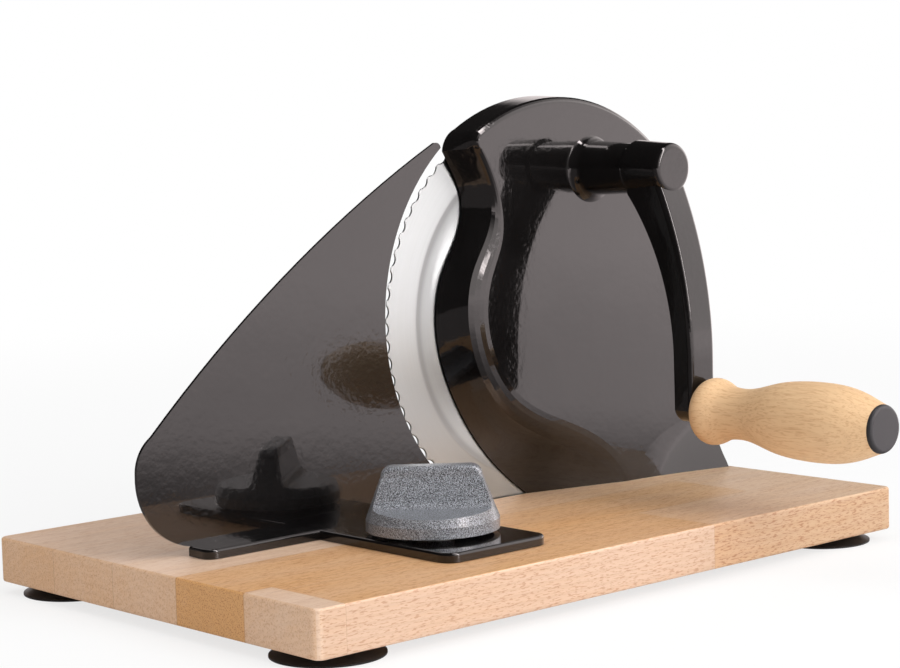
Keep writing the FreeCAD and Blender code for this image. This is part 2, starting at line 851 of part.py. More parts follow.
def shaped(label, shape, place, turn=UPRIGHT):
    """A piece whose form is computed from the sheet."""
    feature = doc.addObject("Part::Feature", label)
    feature.Label = label
    feature.Shape = shape
    put(feature, place, turn)
    PIECES.append(feature)
    return feature


def wheel(teeth, low, high, first_tooth):
    """The toothed disc of a gear."""
    outline = involute_outline(
        int(S[teeth].value), S["gear_module"].value, S["pressure_angle"].value,
        S["tooth_backlash"].value, first_tooth)
    disc = outline.extrude(Vector(0, 0, (high - low).value))
    disc.translate(Vector(0, 0, low.value))
    return disc


def blade_screw_places():
    """Where the blade's screws sit, about the axle."""
    for n in range(BLADE_SCREWS):
        turn = 2 * math.pi * (n + 0.5) / BLADE_SCREWS
        circle_radius = S["blade_screw_circle"].value
        yield circle_radius * math.cos(turn), circle_radius * math.sin(turn)


def drive_gear():
    """The large gear: flange and spigot that carry the blade, and a hub on the bush."""
    shape = wheel("gear_teeth", gear_back, gear_front, S["drive_angle"].value)
    shape = shape.fuse([
        cylinder(S["gear_flange"], blade_front, gear_back + 0.5),
        cylinder(S["spigot"], spigot_end, gear_back + 0.5),
        cylinder(S["gear_hub"], gear_front - 0.5, hub_front),
    ])
    web = cylinder(S["gear_flange"] * 1.75, gear_front - WEB_RECESS, gear_front + 1.0)
    web = web.cut(cylinder(S["gear_hub"] + 4.0, gear_front - WEB_RECESS - 1.0, gear_front + 2.0))
    screw_bores = [
        cylinder(S["blade_screw"], blade_front - 1.0, blade_front + BLADE_SCREW_GRIP + 0.6, across)
        for across in blade_screw_places()
    ]
    bore = cylinder(bush_radius, spigot_end - 1.0, hub_front + 1.0)
    shaped("drive_gear", shape.cut([web, bore] + screw_bores).removeSplitter(), AXLE, TOWARDS_CRANK)


def pinion():
    """The small gear on the crank's shaft, with a pinned hub."""
    first = S["drive_angle"].value + 180 + 180 / S["pinion_teeth"].value
    shape = wheel("pinion_teeth", pinion_back, pinion_front, first)
    shape = shape.fuse(cylinder(S["pinion_hub"], pinion_front - 0.5, pinion_hub_end))
    bore = cylinder(S["shaft_radius"], pinion_back - 1.0, pinion_hub_end + 1.0)
    pin_bore = rod(PIN_RADIUS, S["pinion_hub"] * 3, pin_height)
    shaped("pinion", shape.cut([bore, pin_bore]).removeSplitter(), CRANK, TOWARDS_CRANK)
    pin = rod(PIN_RADIUS, S["pinion_hub"] * 2 - 0.6, pin_height)
    shaped("pinion_pin", pin, CRANK, TOWARDS_CRANK)


# ------------------------------------------------------------------ blade drive
BLADE_SCREWS = 3
BLADE_SCREW_GRIP = 6.0
WEB_RECESS = 1.8
PIN_RADIUS = size(1.0)
pin_height = pinion_front + 1.5
spigot_end = blade_back - 0.3
axle_end = spigot_end - S["end_play"]
axle_thread = face_at_axle - 1.2 - axle_boss_end
RETAINING_THREAD = S["axle_radius"] - 2.0


def blade():
    """The round blade: flat back, bevelled front and a scalloped edge."""
    body = new_body("blade", AXLE, TOWARDS_CRANK)
    bevel_start = S["blade_radius"] - S["blade_bevel"]
    revolve(body, polygon(new_sketch(body, "XZ_Plane"), [
        (S["spigot"], blade_back), (S["blade_radius"], blade_back),
        (S["blade_radius"], blade_back + S["blade_edge_thickness"]), (bevel_start, blade_front),
        (S["spigot"], blade_front),
    ]))
    slant = S["scallop_slant"]
    widest = S["scallop_radius"] + S["blade_thickness"] * tangent(slant)
    cut = circle(
        new_sketch(body, raised=blade_front),
        0, S["blade_radius"] + S["scallop_radius"] - S["scallop_depth"], widest)
    scallop = pocket(body, cut, S["blade_thickness"])
    bind(scallop, "TaperAngle", -slant)
    around(body, scallop, S["scallops"])
    sink = S["blade_screw_head"]
    holes = new_sketch(body, raised=blade_back)
    for x, y in blade_screw_places():
        circle(holes, x, y, sink)
    countersink = pocket(body, holes, S["blade_thickness"], reverse=True)
    bind(countersink, "TaperAngle", size(-45.0))


def blade_drive():
    """The stub axle, its bush, the gear and the blade."""
    running = S["axle_radius"] + S["running_clearance"]
    ring("axle_bush", running, bush_radius, spigot_end, hub_front, AXLE, TOWARDS_CRANK)
    ring("thrust_washer", running + 0.1, S["spigot"] - 1.0, washer_back, axle_boss_end, AXLE,
         TOWARDS_CRANK)
    thread = S["axle_radius"] - 1.0
    blind = spigot_end + 9.5
    turned("blade_axle", [
        (RETAINING_THREAD, axle_end), (S["axle_radius"], axle_end),
        (S["axle_radius"], axle_boss_end), (thread, axle_boss_end),
        (thread, axle_boss_end + axle_thread), (0, axle_boss_end + axle_thread), (0, blind),
        (RETAINING_THREAD, blind),
    ], AXLE, TOWARDS_CRANK)
    drive_gear()
    blade()
    half = S["blade_screw"]
    placed_screws = spun([
        (0, blade_back), (S["blade_screw_head"], blade_back), (half, blade_front),
        (half, blade_front + BLADE_SCREW_GRIP), (0, blade_front + BLADE_SCREW_GRIP),
    ])
    screws = [placed_screws.translated(Vector(x, y, 0)) for x, y in blade_screw_places()]
    shaped("blade_screws", Part.makeCompound(screws), AXLE, TOWARDS_CRANK)
    screw = new_body("retaining_screw", AXLE, TOWARDS_CRANK)
    head, head_back = S["screw_head_radius"], axle_end - 2.4
    revolve(screw, polygon(new_sketch(screw, "XZ_Plane"), [
        (0, head_back), (head - 0.8, head_back), (head, head_back + 0.8), (head, axle_end),
        (RETAINING_THREAD, axle_end), (RETAINING_THREAD, blind - 0.8), (0, blind - 0.8),
    ]))
    coin = rectangle(new_sketch(screw, raised=head_back), -head * 1.2, -1.1, head * 1.2, 1.1)
    pocket(screw, coin, 1.2, reverse=True)


# ------------------------------------------------------------------ crank
def along_bow(low, high, end, share):
    """A point on an arc that leaves z = end at the height low and bows back by the height high.

    The arc starts upright; low and high are (height, z) and share is the part of its height.
    """
    rise, back = high[0] - low[0], low[1] - high[1]
    radius = (rise * rise + back * back) / (back * 2)
    part = rise * share
    return (low[0] + part, end - (radius - root(radius * radius - part * part)))


def crank_arm():
    """The cast arm: hub, bowed and tapering arm, and the eye that holds the grip's spindle."""
    body = new_body("crank_arm", CRANK, TOWARDS_CRANK)
    drop, front, back = S["arm_drop"], S["arm_front"], crank_hub_back
    half_root, half_end = S["arm_width_root"] / 2, S["arm_width_end"] / 2
    arm = draw(new_sketch(body, raised=front), (half_root, 0), [
        ((-half_root, 0),),
        ((-half_end, -drop),),
        ((0, -drop - S["arm_end"]), (half_end, -drop)),
    ])
    pad(body, arm, front - back, reverse=True)
    far = drop + half_end * 2
    front_low, front_high = (-arm_bend, front), (size(0), front - S["arm_bow"])
    back_low, back_high = (-arm_bend, arm_back), (-S["arm_heel"], back)
    before = draw(new_sketch(body, "YZ_Plane"), front_low, [
        (along_bow(front_low, front_high, front, 0.5), front_high),
        ((half_root, front_high[1]),),
        ((half_root, front + 5.0),),
        ((-arm_bend, front + 5.0),),
    ])
    pocket(body, before, None)
    behind = draw(new_sketch(body, "YZ_Plane"), back_low, [
        (along_bow(back_low, back_high, arm_back, 0.5), back_high),
        ((-S["arm_heel"], back - 5.0),),
        ((-far, back - 5.0),),
        ((-far, arm_back),),
    ])
    pocket(body, behind, None)

    def long_edge(low, high, end):
        """Whether an edge runs along the arm's front or back, from its straight to its bow."""
        def test(edge):
            if edge.BoundBox.YLength < 1.0:
                return False
            for vertex in edge.Vertexes:
                part = (vertex.Y - low[0].value) / (high[0] - low[0]).value
                level = along_bow(low, high, end, max(0.0, part))[1].value
                if abs(vertex.Z - level) > 0.01 or part > 1.001:
                    return False
            return True
        return test

    round_edges(body, S["arm_front_edge"], long_edge(front_low, front_high, front))
    round_edges(body, S["arm_back_edge"], long_edge(back_low, back_high, arm_back))
    hub_back, hub, end = S["hub_back_radius"], S["hub_radius"], S["hub_end"]
    turn = S["hub_rounding"]
    revolve(body, draw(new_sketch(body, "XZ_Plane"), (0, back), [
        ((hub_back, back),),
        ((hub, end - turn),),
        ((hub - turn * 0.293, end - turn * 0.293), (hub - turn, end)),
        ((0, end),),
    ]))
    pocket(body, circle(new_sketch(body, raised=back), 0, 0, S["shaft_radius"]),
           hub_bore_end - back, reverse=True)
    pocket(body, circle(new_sketch(body, raised=front), 0, -drop, S["spindle_radius"]),
           front - back)
    grub = circle(new_sketch(body, "YZ_Plane", raised=hub_back), 0, grub_height, GRUB_RADIUS)
    pocket(body, grub, hub_back - S["shaft_radius"] + 0.5)


GRUB_RADIUS = size(2.5)
grub_height = crank_hub_back + 8.0
hub_bore_end = S["hub_end"] - 4.0


def crank():
    """The crank: shaft, bushes, pinion, arm and the spindle of the grip."""
    pinion()
    bore = S["shaft_radius"] + S["running_clearance"]
    for label, low, high in (
            ("shaft_bush_front", S["boss_end"] - S["bush_length"], S["boss_end"]),
            ("shaft_bush_rear", bush_seat_end, bush_seat_end + S["bush_length"] * 0.8)):
        ring(label, bore, shaft_bush_radius, low, high, CRANK, TOWARDS_CRANK)
    ring("shaft_washer", bore + 0.1, S["boss_end_radius"] - 1.0, S["boss_end"],
         S["boss_end"] + S["washer_thickness"], CRANK, TOWARDS_CRANK)
    radius = S["shaft_radius"]
    shaft = turned("crank_shaft", [
        (0, shaft_end), (radius - 0.6, shaft_end), (radius, shaft_end + 0.6),
        (radius, hub_bore_end), (0, hub_bore_end),
    ], CRANK, TOWARDS_CRANK)
    pin_hole = circle(new_sketch(shaft, "YZ_Plane"), 0, pin_height, PIN_RADIUS)
    pocket(shaft, pin_hole, None)
    crank_arm()
    grub = new_body("crank_grub_screw", CRANK, TOWARDS_CRANK)
    pad(grub, circle(new_sketch(grub, "YZ_Plane", raised=radius), 0, grub_height, GRUB_RADIUS),
        S["hub_radius"] - radius - 0.8)
    key = polygon(new_sketch(grub, "YZ_Plane", raised=S["hub_radius"] - 0.8), [
        (GRUB_RADIUS * 0.5 * math.cos(math.radians(a)),
         grub_height + GRUB_RADIUS * 0.5 * math.sin(math.radians(a))) for a in range(0, 360, 60)])
    pocket(grub, key, 2.0)


# ------------------------------------------------------------------ grip
# The grip's outline: how far along it from the arm and the radius there, as shares of its size
GRIP_OUTLINE = [(0.0, 0.62), (0.02, 0.80), (0.053, 0.867), (0.092, 0.833), (0.136, 0.722),
                (0.185, 0.667), (0.252, 0.661), (0.33, 0.733), (0.437, 0.889), (0.563, 0.983),
                (0.689, 1.0), (0.796, 0.956), (0.893, 0.828), (0.96, 0.689), (1.0, 0.606)]
cap_radius = S["grip_radius"] * GRIP_OUTLINE[-1][1]
RECESS_RADIUS = size(7.8)
RECESS_DEPTH = size(11.0)
NUT_HEIGHT = size(5.0)
recess_floor = grip_end - RECESS_DEPTH
nut_low = recess_floor + S["end_play"] + S["washer_thickness"]


def grip():
    """The turned beech grip and what holds it on the arm."""
    long, wide = S["grip_length"].value, S["grip_radius"].value
    body = new_body("grip", GRIP, TOWARDS_CRANK)
    sketch = new_sketch(body, "XZ_Plane")
    outline = [Vector(r * wide, grip_start.value + along * long, 0) for along, r in GRIP_OUTLINE]
    curve = Part.BSplineCurve()
    curve.interpolate(outline)
    bore, recess = S["grip_bore"].value, RECESS_RADIUS.value
    corners = [
        outline[-1],
        Vector(recess, grip_end.value, 0),
        Vector(recess, recess_floor.value, 0),
        Vector(bore, recess_floor.value, 0),
        Vector(bore, grip_start.value, 0),
        outline[0],
    ]
    sides = [Part.LineSegment(a, b) for a, b in zip(corners, corners[1:])]
    sketch.addGeometry([curve] + sides, False)
    revolve(body, sketch)
    spindle = S["spindle_radius"]
    turned("grip_spindle", [
        (0, arm_back), (spindle - 0.6, arm_back),
        (spindle, arm_back + 0.6), (spindle, nut_low + NUT_HEIGHT + 0.8),
        (0, nut_low + NUT_HEIGHT + 0.8),
    ], GRIP, TOWARDS_CRANK)
    ring("grip_washer", spindle, cap_radius - 1.6, S["arm_front"],
         S["arm_front"] + S["washer_thickness"], GRIP, TOWARDS_CRANK)
    ring("spindle_washer", spindle, RECESS_RADIUS - 0.4, nut_low - S["washer_thickness"], nut_low,
         GRIP, TOWARDS_CRANK)
    nut = new_body("spindle_nut", GRIP, TOWARDS_CRANK)
    across = RECESS_RADIUS - 0.6
    pad(nut, polygon(new_sketch(nut, raised=nut_low), [
        (across * math.cos(math.radians(a)), across * math.sin(math.radians(a)))
        for a in range(0, 360, 60)]), NUT_HEIGHT)
    pocket(nut, circle(new_sketch(nut, raised=nut_low), 0, 0, spindle), NUT_HEIGHT, reverse=True)
    cap, dome = cap_radius - 0.1, S["cap_dome"]
    cap_body = new_body("grip_cap", GRIP, TOWARDS_CRANK)
    revolve(cap_body, draw(new_sketch(cap_body, "XZ_Plane"), (0, grip_end - 3.0), [
        ((RECESS_RADIUS, grip_end - 3.0),),
        ((RECESS_RADIUS, grip_end),),
        ((cap, grip_end),),
        ((cap - 0.3, grip_end + dome * 0.62), (cap - 1.8, grip_end + dome)),
        ((0, grip_end + dome),),
    ]))


# ------------------------------------------------------------------ stop plate and knob
PLATE_ARC = (66.0, 88.5)
PLATE_ARC_TOP = 130.1
PLATE_SHOULDER = (-3.6, 168.1)
PLATE_TIP = (-0.9, 168.2)
PLATE_SLOPE = (-87.2, 116.8)
PLATE_NOSE_TOP = (-163.5, 52.6)
PLATE_NOSE_VIA = (-169.8, 45.6)
PLATE_NOSE = (-171.7, 37.0)
PLATE_HEEL_VIA = (-165.4, 16.4)
PLATE_HEEL = (-144.0, 4.2)


def stop_plate():
    """The enamelled stop: upright plate, foot along its bottom and tongue under the knob."""
    body = new_body("stop_plate", (0, 0, board_top))
    low, high, sheet_metal = S["tray_clearance"], tray_top - board_top, S["sheet_metal"]
    back = S["plate_front"] + sheet_metal
    left, right, front = -S["tray_left"], -S["tray_right"], -S["tray_depth"]
    tongue_left, tongue_right = knob_x - S["tongue_width"] / 2, knob_x + S["tongue_width"] / 2
    end, corner = -S["tongue_end"], S["tongue_corner"]

    def footprint(sketch, inward):
        """The outline of the foot and tongue, drawn in by a distance."""
        turn = corner - inward
        bend = turn * (1 - math.sqrt(0.5))
        l, r = tongue_left + inward, tongue_right - inward
        e, f = end + inward, front + inward
        heel = left + inward
        small = size(5.0) - inward
        sweep = small * (1 - math.sqrt(0.5))
        return draw(sketch, (right + S["plate_toe"] - inward, back - inward), [
            ((heel, back - inward),),
            ((heel, f + small),),
            ((heel + sweep, f + sweep), (heel + small, f)),
            ((l, f),),
            ((l, e + turn),),
            ((l + bend, e + bend), (l + turn, e)),
            ((r - turn, e),),
            ((r - bend, e + bend), (r, e + turn)),
            ((r, f),),
            ((right - inward, f),),
            ((right + S["plate_toe"] - inward, back - inward),),
        ])

    pad(body, footprint(new_sketch(body, raised=low), size(0.0)), high - low)

    def top_front(edge):
        points = edge.Vertexes
        level = all(abs(v.Z - high.value) < 1e-4 for v in points)
        return level and not all(v.Y > back.value - 1e-3 for v in points)

    round_edges(body, size(1.2), top_front)
    pocket(body, footprint(new_sketch(body, raised=low), sheet_metal), high - low - sheet_metal,
           reverse=True)
    (cx, cz), radius = PLATE_ARC, S["plate_arc_radius"]
    foot_z = PLATE_HEEL[1] - 0.8
    foot_angle = -math.degrees(math.asin((cz - foot_z) / radius.value))
    middle_angle = (PLATE_ARC_TOP + 180 - foot_angle) / 2

    def round_blade(angle):
        turn = math.radians(angle)
        return (cx + radius * math.cos(turn), cz + radius * math.sin(turn))

    plate = new_sketch(body, "XZ_Plane", raised=-back)
    draw(plate, PLATE_SHOULDER, [
        (PLATE_SLOPE, PLATE_NOSE_TOP),
        (PLATE_NOSE_VIA, PLATE_NOSE),
        (PLATE_HEEL_VIA, PLATE_HEEL),
        ((PLATE_HEEL[0], foot_z),),
        (round_blade(180 - foot_angle),),
        (round_blade(middle_angle), round_blade(PLATE_ARC_TOP)),
        (PLATE_TIP, PLATE_SHOULDER),
    ])
    pad(body, plate, sheet_metal)
    gap = S["stud_radius"] + S["stud_clearance"]
    pocket(body, slot(new_sketch(body, raised=high), knob_x, knob_y - S["slide_in"],
                      knob_y + S["slide_out"], gap), high - low)
    ceiling = high - sheet_metal
    screws = new_sketch(body, raised=ceiling)
    for y in GUIDE_SCREWS:
        circle(screws, knob_x, y, GUIDE_SCREW)
    pocket(body, screws, sheet_metal - 0.3, reverse=True)
    block = new_body("guide_block", (0, 0, board_top))
    pad(block, rectangle(new_sketch(block, raised=-KEY_DEPTH), knob_x - KEY_HALF_WIDTH, KEY_FRONT,
                         knob_x + KEY_HALF_WIDTH, KEY_BACK), KEY_DEPTH + ceiling)
    holes = new_sketch(block, raised=-KEY_DEPTH)
    sinks = new_sketch(block, raised=-KEY_DEPTH)
    for y in GUIDE_SCREWS:
        circle(holes, knob_x, y, GUIDE_SCREW)
        circle(sinks, knob_x, y, GUIDE_SCREW * 2)
    pocket(block, holes, None)
    pocket(block, sinks, GUIDE_SCREW_HEAD, reverse=True)
    placed_copies("guide_screws", spun([
        (0, -KEY_DEPTH + 0.4), (GUIDE_SCREW * 2, -KEY_DEPTH + 0.4),
        (GUIDE_SCREW * 2, -KEY_DEPTH + GUIDE_SCREW_HEAD), (GUIDE_SCREW, -KEY_DEPTH + GUIDE_SCREW_HEAD),
        (GUIDE_SCREW, high - 0.5), (0, high - 0.5),
    ]), [(knob_x, y, board_top) for y in GUIDE_SCREWS])


GUIDE_SCREWS = (KEY_FRONT + S["key_length"] / 4, KEY_BACK - S["key_length"] / 4)
GUIDE_SCREW = size(1.5)
GUIDE_SCREW_HEAD = size(1.8)


def knob():
    """The clamping knob with its stud and washer."""
    place = (knob_x, knob_y, knob_bottom)
    body = new_body("knob", place, Rotation(Vector(0, 0, 1), -S["knob_turned"].value))
    bind(body, "Placement.Rotation.Yaw", -S["knob_turned"])
    radius, skirt, top = S["knob_radius"], S["knob_skirt"], S["knob_height"]
    top_radius = S["knob_top_radius"]
    under, wall = skirt - 3.0, size(2.5)
    stud, boss = S["stud_radius"], S["knob_boss"]
    stud_top = skirt + 9.0
    shoulder = S["knob_shoulder"]
    revolve(body, draw(new_sketch(body, "XZ_Plane"), (stud, 0), [
        ((boss, 0),),
        ((boss, under),),
        ((radius - wall, under),),
        ((radius - wall, 0),),
        ((radius, 0),),
        ((radius, skirt / 2),),
        ((top_radius, top - shoulder),),
        ((top_radius - shoulder * 0.36, top - shoulder * 0.25), (top_radius - shoulder, top)),
        ((0, top),),
        ((0, stud_top),),
        ((stud, stud_top),),
    ]))
    reach = radius * 1.2
    half_top = S["knob_bar"] / 2
    half_low = half_top + 2.0
    cheek = size(4.4)
    for side in (-1, 1):
        cut = draw(new_sketch(body, "YZ_Plane"), (side * half_top, top + 2.0), [
            ((side * half_top, top - shoulder),),
            ((side * half_low, skirt + cheek + 0.8),),
            ((side * (half_low + cheek * 0.27), skirt + cheek * 0.3 + 0.6),
             (side * (half_low + cheek), skirt + 0.4)),
            ((side * reach, skirt - 1.4),),
            ((side * reach, top + 2.0),),
        ])
        pocket(body, cut, None)

    def top_edge(edge):
        box = edge.BoundBox
        flat_top = abs(box.ZMin - top.value) < 1e-3 and abs(box.ZMax - top.value) < 1e-3
        return flat_top and box.XLength > 10

    round_edges(body, size(2.0), top_edge)
    pin_bottom = board_top - S["insert_depth"] + 1.5
    turned("knob_stud", [
        (0, pin_bottom), (stud, pin_bottom), (stud, knob_bottom + stud_top),
        (0, knob_bottom + stud_top),
    ], (knob_x, knob_y, 0))
    ring("knob_washer", stud + 0.2, boss + 3.0, knob_washer_bottom, knob_bottom,
         (knob_x, knob_y, 0))


# ------------------------------------------------------------------ build, check and write
base()
housing()
blade_drive()
crank()
grip()
stop_plate()
knob()
doc.recompute()

for item in doc.Objects:
    if any(word in state for state in item.State for word in ("Invalid", "Error")):
        raise RuntimeError(f"{item.Name} ({item.Label}) did not build: {item.State}")
for piece in PIECES:
    if piece.Shape.isNull() or not piece.Shape.isValid():
        raise RuntimeError(f"{piece.Label} has no valid shape")

os.makedirs("parts", exist_ok=True)
for piece in PIECES:
    piece.Shape.exportStep(f"parts/{piece.Label}.step")
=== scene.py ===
"""Finishes, light and camera for a hand cranked bread slicer on a beech board.

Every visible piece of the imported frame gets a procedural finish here. Lengths are in metres.
"""

import json
import math

import bpy
from mathutils import Matrix, Vector


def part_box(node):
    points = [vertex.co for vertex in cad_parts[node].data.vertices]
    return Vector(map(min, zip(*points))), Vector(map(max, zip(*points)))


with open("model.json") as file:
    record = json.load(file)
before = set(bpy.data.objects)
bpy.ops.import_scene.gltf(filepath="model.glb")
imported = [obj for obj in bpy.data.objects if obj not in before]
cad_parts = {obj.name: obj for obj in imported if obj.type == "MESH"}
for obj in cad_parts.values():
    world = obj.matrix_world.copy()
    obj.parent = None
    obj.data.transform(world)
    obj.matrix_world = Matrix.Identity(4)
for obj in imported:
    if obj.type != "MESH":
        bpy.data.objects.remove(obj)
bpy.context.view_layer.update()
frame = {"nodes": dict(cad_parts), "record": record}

bl_info = {
    "name": "Bread slicer finishes",
    "version": (1, 0, 0),
    "blender": (4, 5, 0),
    "location": "3D View > Sidebar > Slicer",
    "description": "Dresses a hand cranked bread slicer in enamel, beech, steel and rubber",
    "category": "Material",
}

NODES = frame["nodes"]
BOARD_LOW, BOARD_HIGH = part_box("base_board")
BOARD_MIDDLE = (BOARD_LOW + BOARD_HIGH) / 2
BLADE_LOW, BLADE_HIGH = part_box("blade")
BLADE_CENTRE = (BLADE_LOW + BLADE_HIGH) / 2
GRIP_LOW, GRIP_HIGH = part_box("grip")
GRIP_CENTRE = (GRIP_LOW + GRIP_HIGH) / 2
MM = 0.001

# How deep in colour each block of beech is, from left to right: first as seen on the front face,
# then for each row of staves from the front to the rear. The deep tones on the tops by the housing
# are partly painted shade and reflection of the black housing
STAVE_TONES_AND_SHADE = (
    (0.05, 0.10, 0.05, 0.50),
    (0.05, 0.05, 0.76, 0.50),
    (0.75, 0.74, 0.78, 0.42),
    (0.10, 0.08, 0.50, 0.25),
    (0.15, 0.22, 0.40, 0.30),
    (0.20, 0.12, 0.35, 0.25),
)
# Where the first butt joint lies in X, and how far it moves from one row of staves to the next
FRONT_JOINT = -161 * MM
JOINT_STEP = 75 * MM
# Blocks are counted from well left of the board, and this one is the first that shows
COUNTED_LEFT = 8.0
FIRST_BLOCK = 6.0
# The rows are squeezed a little, so that the last one ends inside the board
ROW_SQUEEZE = 0.998
ROW_MARGIN = 0.001
# How deep under a face of the board a point still counts as part of that face
FACE_SKIN = 0.6 * MM
END_SKIN = 0.8 * MM
# Each stave's pith lies below the board, moved across and down by chance within a spread
PITH_ACROSS = -20 * MM
PITH_DOWN = 12 * MM
PITH_SPREAD = 50 * MM
# The grip's pith lies outside it, to the left and below
GRIP_PITH = (34 * MM, 12 * MM)
# How far growth rings stray from circles
BOARD_WANDER = 16 * MM
GRIP_WANDER = 7 * MM
# Widths of the glue lines, as shares of a stave's width and of a block's length
GLUE_ACROSS = 0.010
GLUE_ALONG = 0.002
# Where the board starts and ends growing darker towards the right, a painted shade where the light
# falls off
PAINTED_SHADE_START = 0.0
PAINTED_SHADE_END = 0.12

# Noise scales per metre in X, Y and Z, or along, across and up where the grain runs otherwise
RING_DRIFT = (5.0, 30.0, 30.0)
RAY_FLECK = (260.0, 1500.0, 1500.0)
BOARD_CLOUD = (9.0, 55.0, 55.0)
BOARD_STREAK = (22.0, 420.0, 420.0)
GRIP_CLOUD = (60.0, 14.0, 60.0)
GRIP_STREAK = (700.0, 45.0, 700.0)
BLADE_DRIFT = (9.0, 9.0, 9.0)
BLADE_LINES = 2600.0
BLADE_BANDS = 300.0
ENAMEL_SAG = 55.0
ENAMEL_CLOUD = 26.0
ENAMEL_SPECK = 420.0
PLAIN_CLOUD = 45.0

# Radii on the blade between which the dark ground ring rises and falls
RING_RISE = (73.5 * MM, 76.5 * MM)
RING_FALL = (79.5 * MM, 77.2 * MM)

# Flat directions, east and north: the one in which the enamel mirrors the room, those of the
# white card, the backdrop and the narrow strip, and the one across the strip
MIRRORED_WAY = (0.67, -0.74)
CARD_WAY = (0.70, -0.71)
BACKDROP_WAY = (0.65, 0.75)
STRIP_WAY = (0.29, -0.957)
STRIP_ACROSS = (0.957, 0.29)
# Where each of those starts and where it is full, along its own direction or upwards
CARD_EDGE = (0.30, 0.75)
BACKDROP_EDGE = (0.1, 0.6)
BACKDROP_TOP = (0.45, 0.25)
STRIP_LEFT = (-0.10, -0.06)
STRIP_RIGHT = (0.09, 0.05)
STRIP_FRONT = (0.1, 0.3)
STRIP_FOOT = (0.05, 0.12)
# How the light from all round grows from the rear to the front, and from how much to how much
REAR_TO_FRONT = (0.6, -0.4, 0.30, 1.0)
# How far ahead of the board the mirrored floor grows bright out of its painted shade, in two steps
FLOOR_MIDDLE = (0.12, 0.50)
FLOOR_FAR = (0.5, 1.8)
# How far from the board the floor turns white, and how white it starts and ends
FLOOR_WHITE = (0.25, 1.3, 0.74, 1.0)
# Lamps: where each stands, what it faces and how wide it is, in metres from the board's middle
SOFTBOX = ((0.30, -1.50, 0.9), (0.0, 0.0, 0.08), 1.1)
OVERHEAD = ((-0.4, 0.2, 1.6), (0.0, 0.0, 0.0), 1.4)
OVERHEAD_SHARE = 0.35
# What a mirrored white keeps of red, green and blue
FLOOR_TINT = (1.0, 0.89, 0.89)
ROOM_TINT = (1.0, 0.91, 0.90)
FLOOR_SIZE = 30.0
FLOOR_GAP = 0.2 * MM


# ------------------------------------------------------------------ sizes and colours
def colour(name, description, default):
    """A colour setting."""
    return bpy.props.FloatVectorProperty(
        name=name, description=description, default=default, subtype="COLOR", size=3,
        min=0.0, max=1.0)


def length(name, description, default):
    """A length setting."""
    return bpy.props.FloatProperty(
        name=name, description=description, default=default, unit="LENGTH", min=0.0, precision=5)


def share(name, description, default):
    """A setting between nothing and all."""
    return bpy.props.FloatProperty(
        name=name, description=description, default=default, subtype="FACTOR", min=0.0, max=1.0)


def strength(name, description, default, unit="NONE"):
    """A setting of how bright a light or a mirrored surface is."""
    return bpy.props.FloatProperty(
        name=name, description=description, default=default, subtype="UNSIGNED", unit=unit,
        min=0.0)


class SlicerColours(bpy.types.PropertyGroup):
    """Colours and grain of the slicer's finishes."""

    enamel: colour("Enamel", "Gloss enamel of housing and stop plate", (0.0045, 0.004, 0.004))
    enamel_gloss: share("Enamel roughness", "Roughness under the enamel's gloss", 0.09)
    enamel_wave: length("Orange peel", "Width of the waves in the enamel", 2.4 * MM)
    beech_pale: colour("Pale beech", "Lightest staves of the board", (0.80, 0.58, 0.43))
    beech_deep: colour("Deep beech", "Darkest staves of the board", (0.72, 0.39, 0.155))
    stave: length("Stave width", "Width of one glued stave", 45 * MM)
    stave_length: length("Stave length", "Distance between butt joints", 209 * MM)
    ring_gap: length("Growth rings", "Distance between growth rings", 3.2 * MM)
    late_wood: colour("Late wood", "Tint of the dense part of a growth ring", (0.42, 0.20, 0.08))
    fleck: colour("Ray flecks", "Tint of the short dark rays", (0.56, 0.32, 0.18))
    glue: colour("Glue lines", "Tint of the joints between staves", (0.30, 0.15, 0.07))
    # Painted shade: tint that darkens the board towards the right, as if less light reached that
    # end
    painted_right_shade: colour("Right side", "Tint of the board towards the right", (0.87, 0.93, 0.96))
    grip_wood: colour("Grip", "Turned beech of the grip", (0.77, 0.48, 0.25))
    grip_pale: colour("Pale grip", "Lightest wood of the grip", (0.87, 0.61, 0.36))
    grip_ring: length("Grip rings", "Distance between the grip's growth rings", 3.4 * MM)
    grip_late: colour("Grip late wood", "Tint of the grip's dense wood", (0.45, 0.23, 0.10))
    grip_fleck: colour("Grip flecks", "Tint of the grip's dark rays", (0.55, 0.30, 0.15))
    steel: colour("Blade steel", "Ground stainless steel", (0.405, 0.44, 0.445))
    steel_deep: colour("Steel bands", "Darker bands in the steel", (0.33, 0.355, 0.355))
    ring_tint: colour("Blade ring", "Tint of the ring ground into the blade", (0.55, 0.54, 0.53))
    line_tint: colour("Grinding lines", "Tint of the fine grinding lines", (0.70, 0.68, 0.66))
    knob_dark: colour("Knob base", "Dark ground of the speckled knob", (0.012, 0.012, 0.014))
    knob_light: colour("Knob speckle", "Light speckles of the knob", (0.40, 0.42, 0.46))
    speckle: length("Speckle", "Size of the knob's speckles", 0.42 * MM)
    cap: colour("Cap", "Matte cap on the grip", (0.029, 0.028, 0.031))
    rubber: colour("Rubber", "Suction feet", (0.012, 0.011, 0.011))
    zinc: colour("Zinc", "Plated shafts, screws and washers", (0.60, 0.60, 0.58))
    gear: colour("Gear steel", "Oiled steel of the gear and pinion", (0.34, 0.33, 0.32))
    bronze: colour("Bronze", "Sintered bushes", (0.52, 0.34, 0.17))
    brass: colour("Brass", "Threaded insert", (0.72, 0.53, 0.24))
    nylon: colour("Nylon", "Guide block under the stop plate", (0.74, 0.73, 0.68))


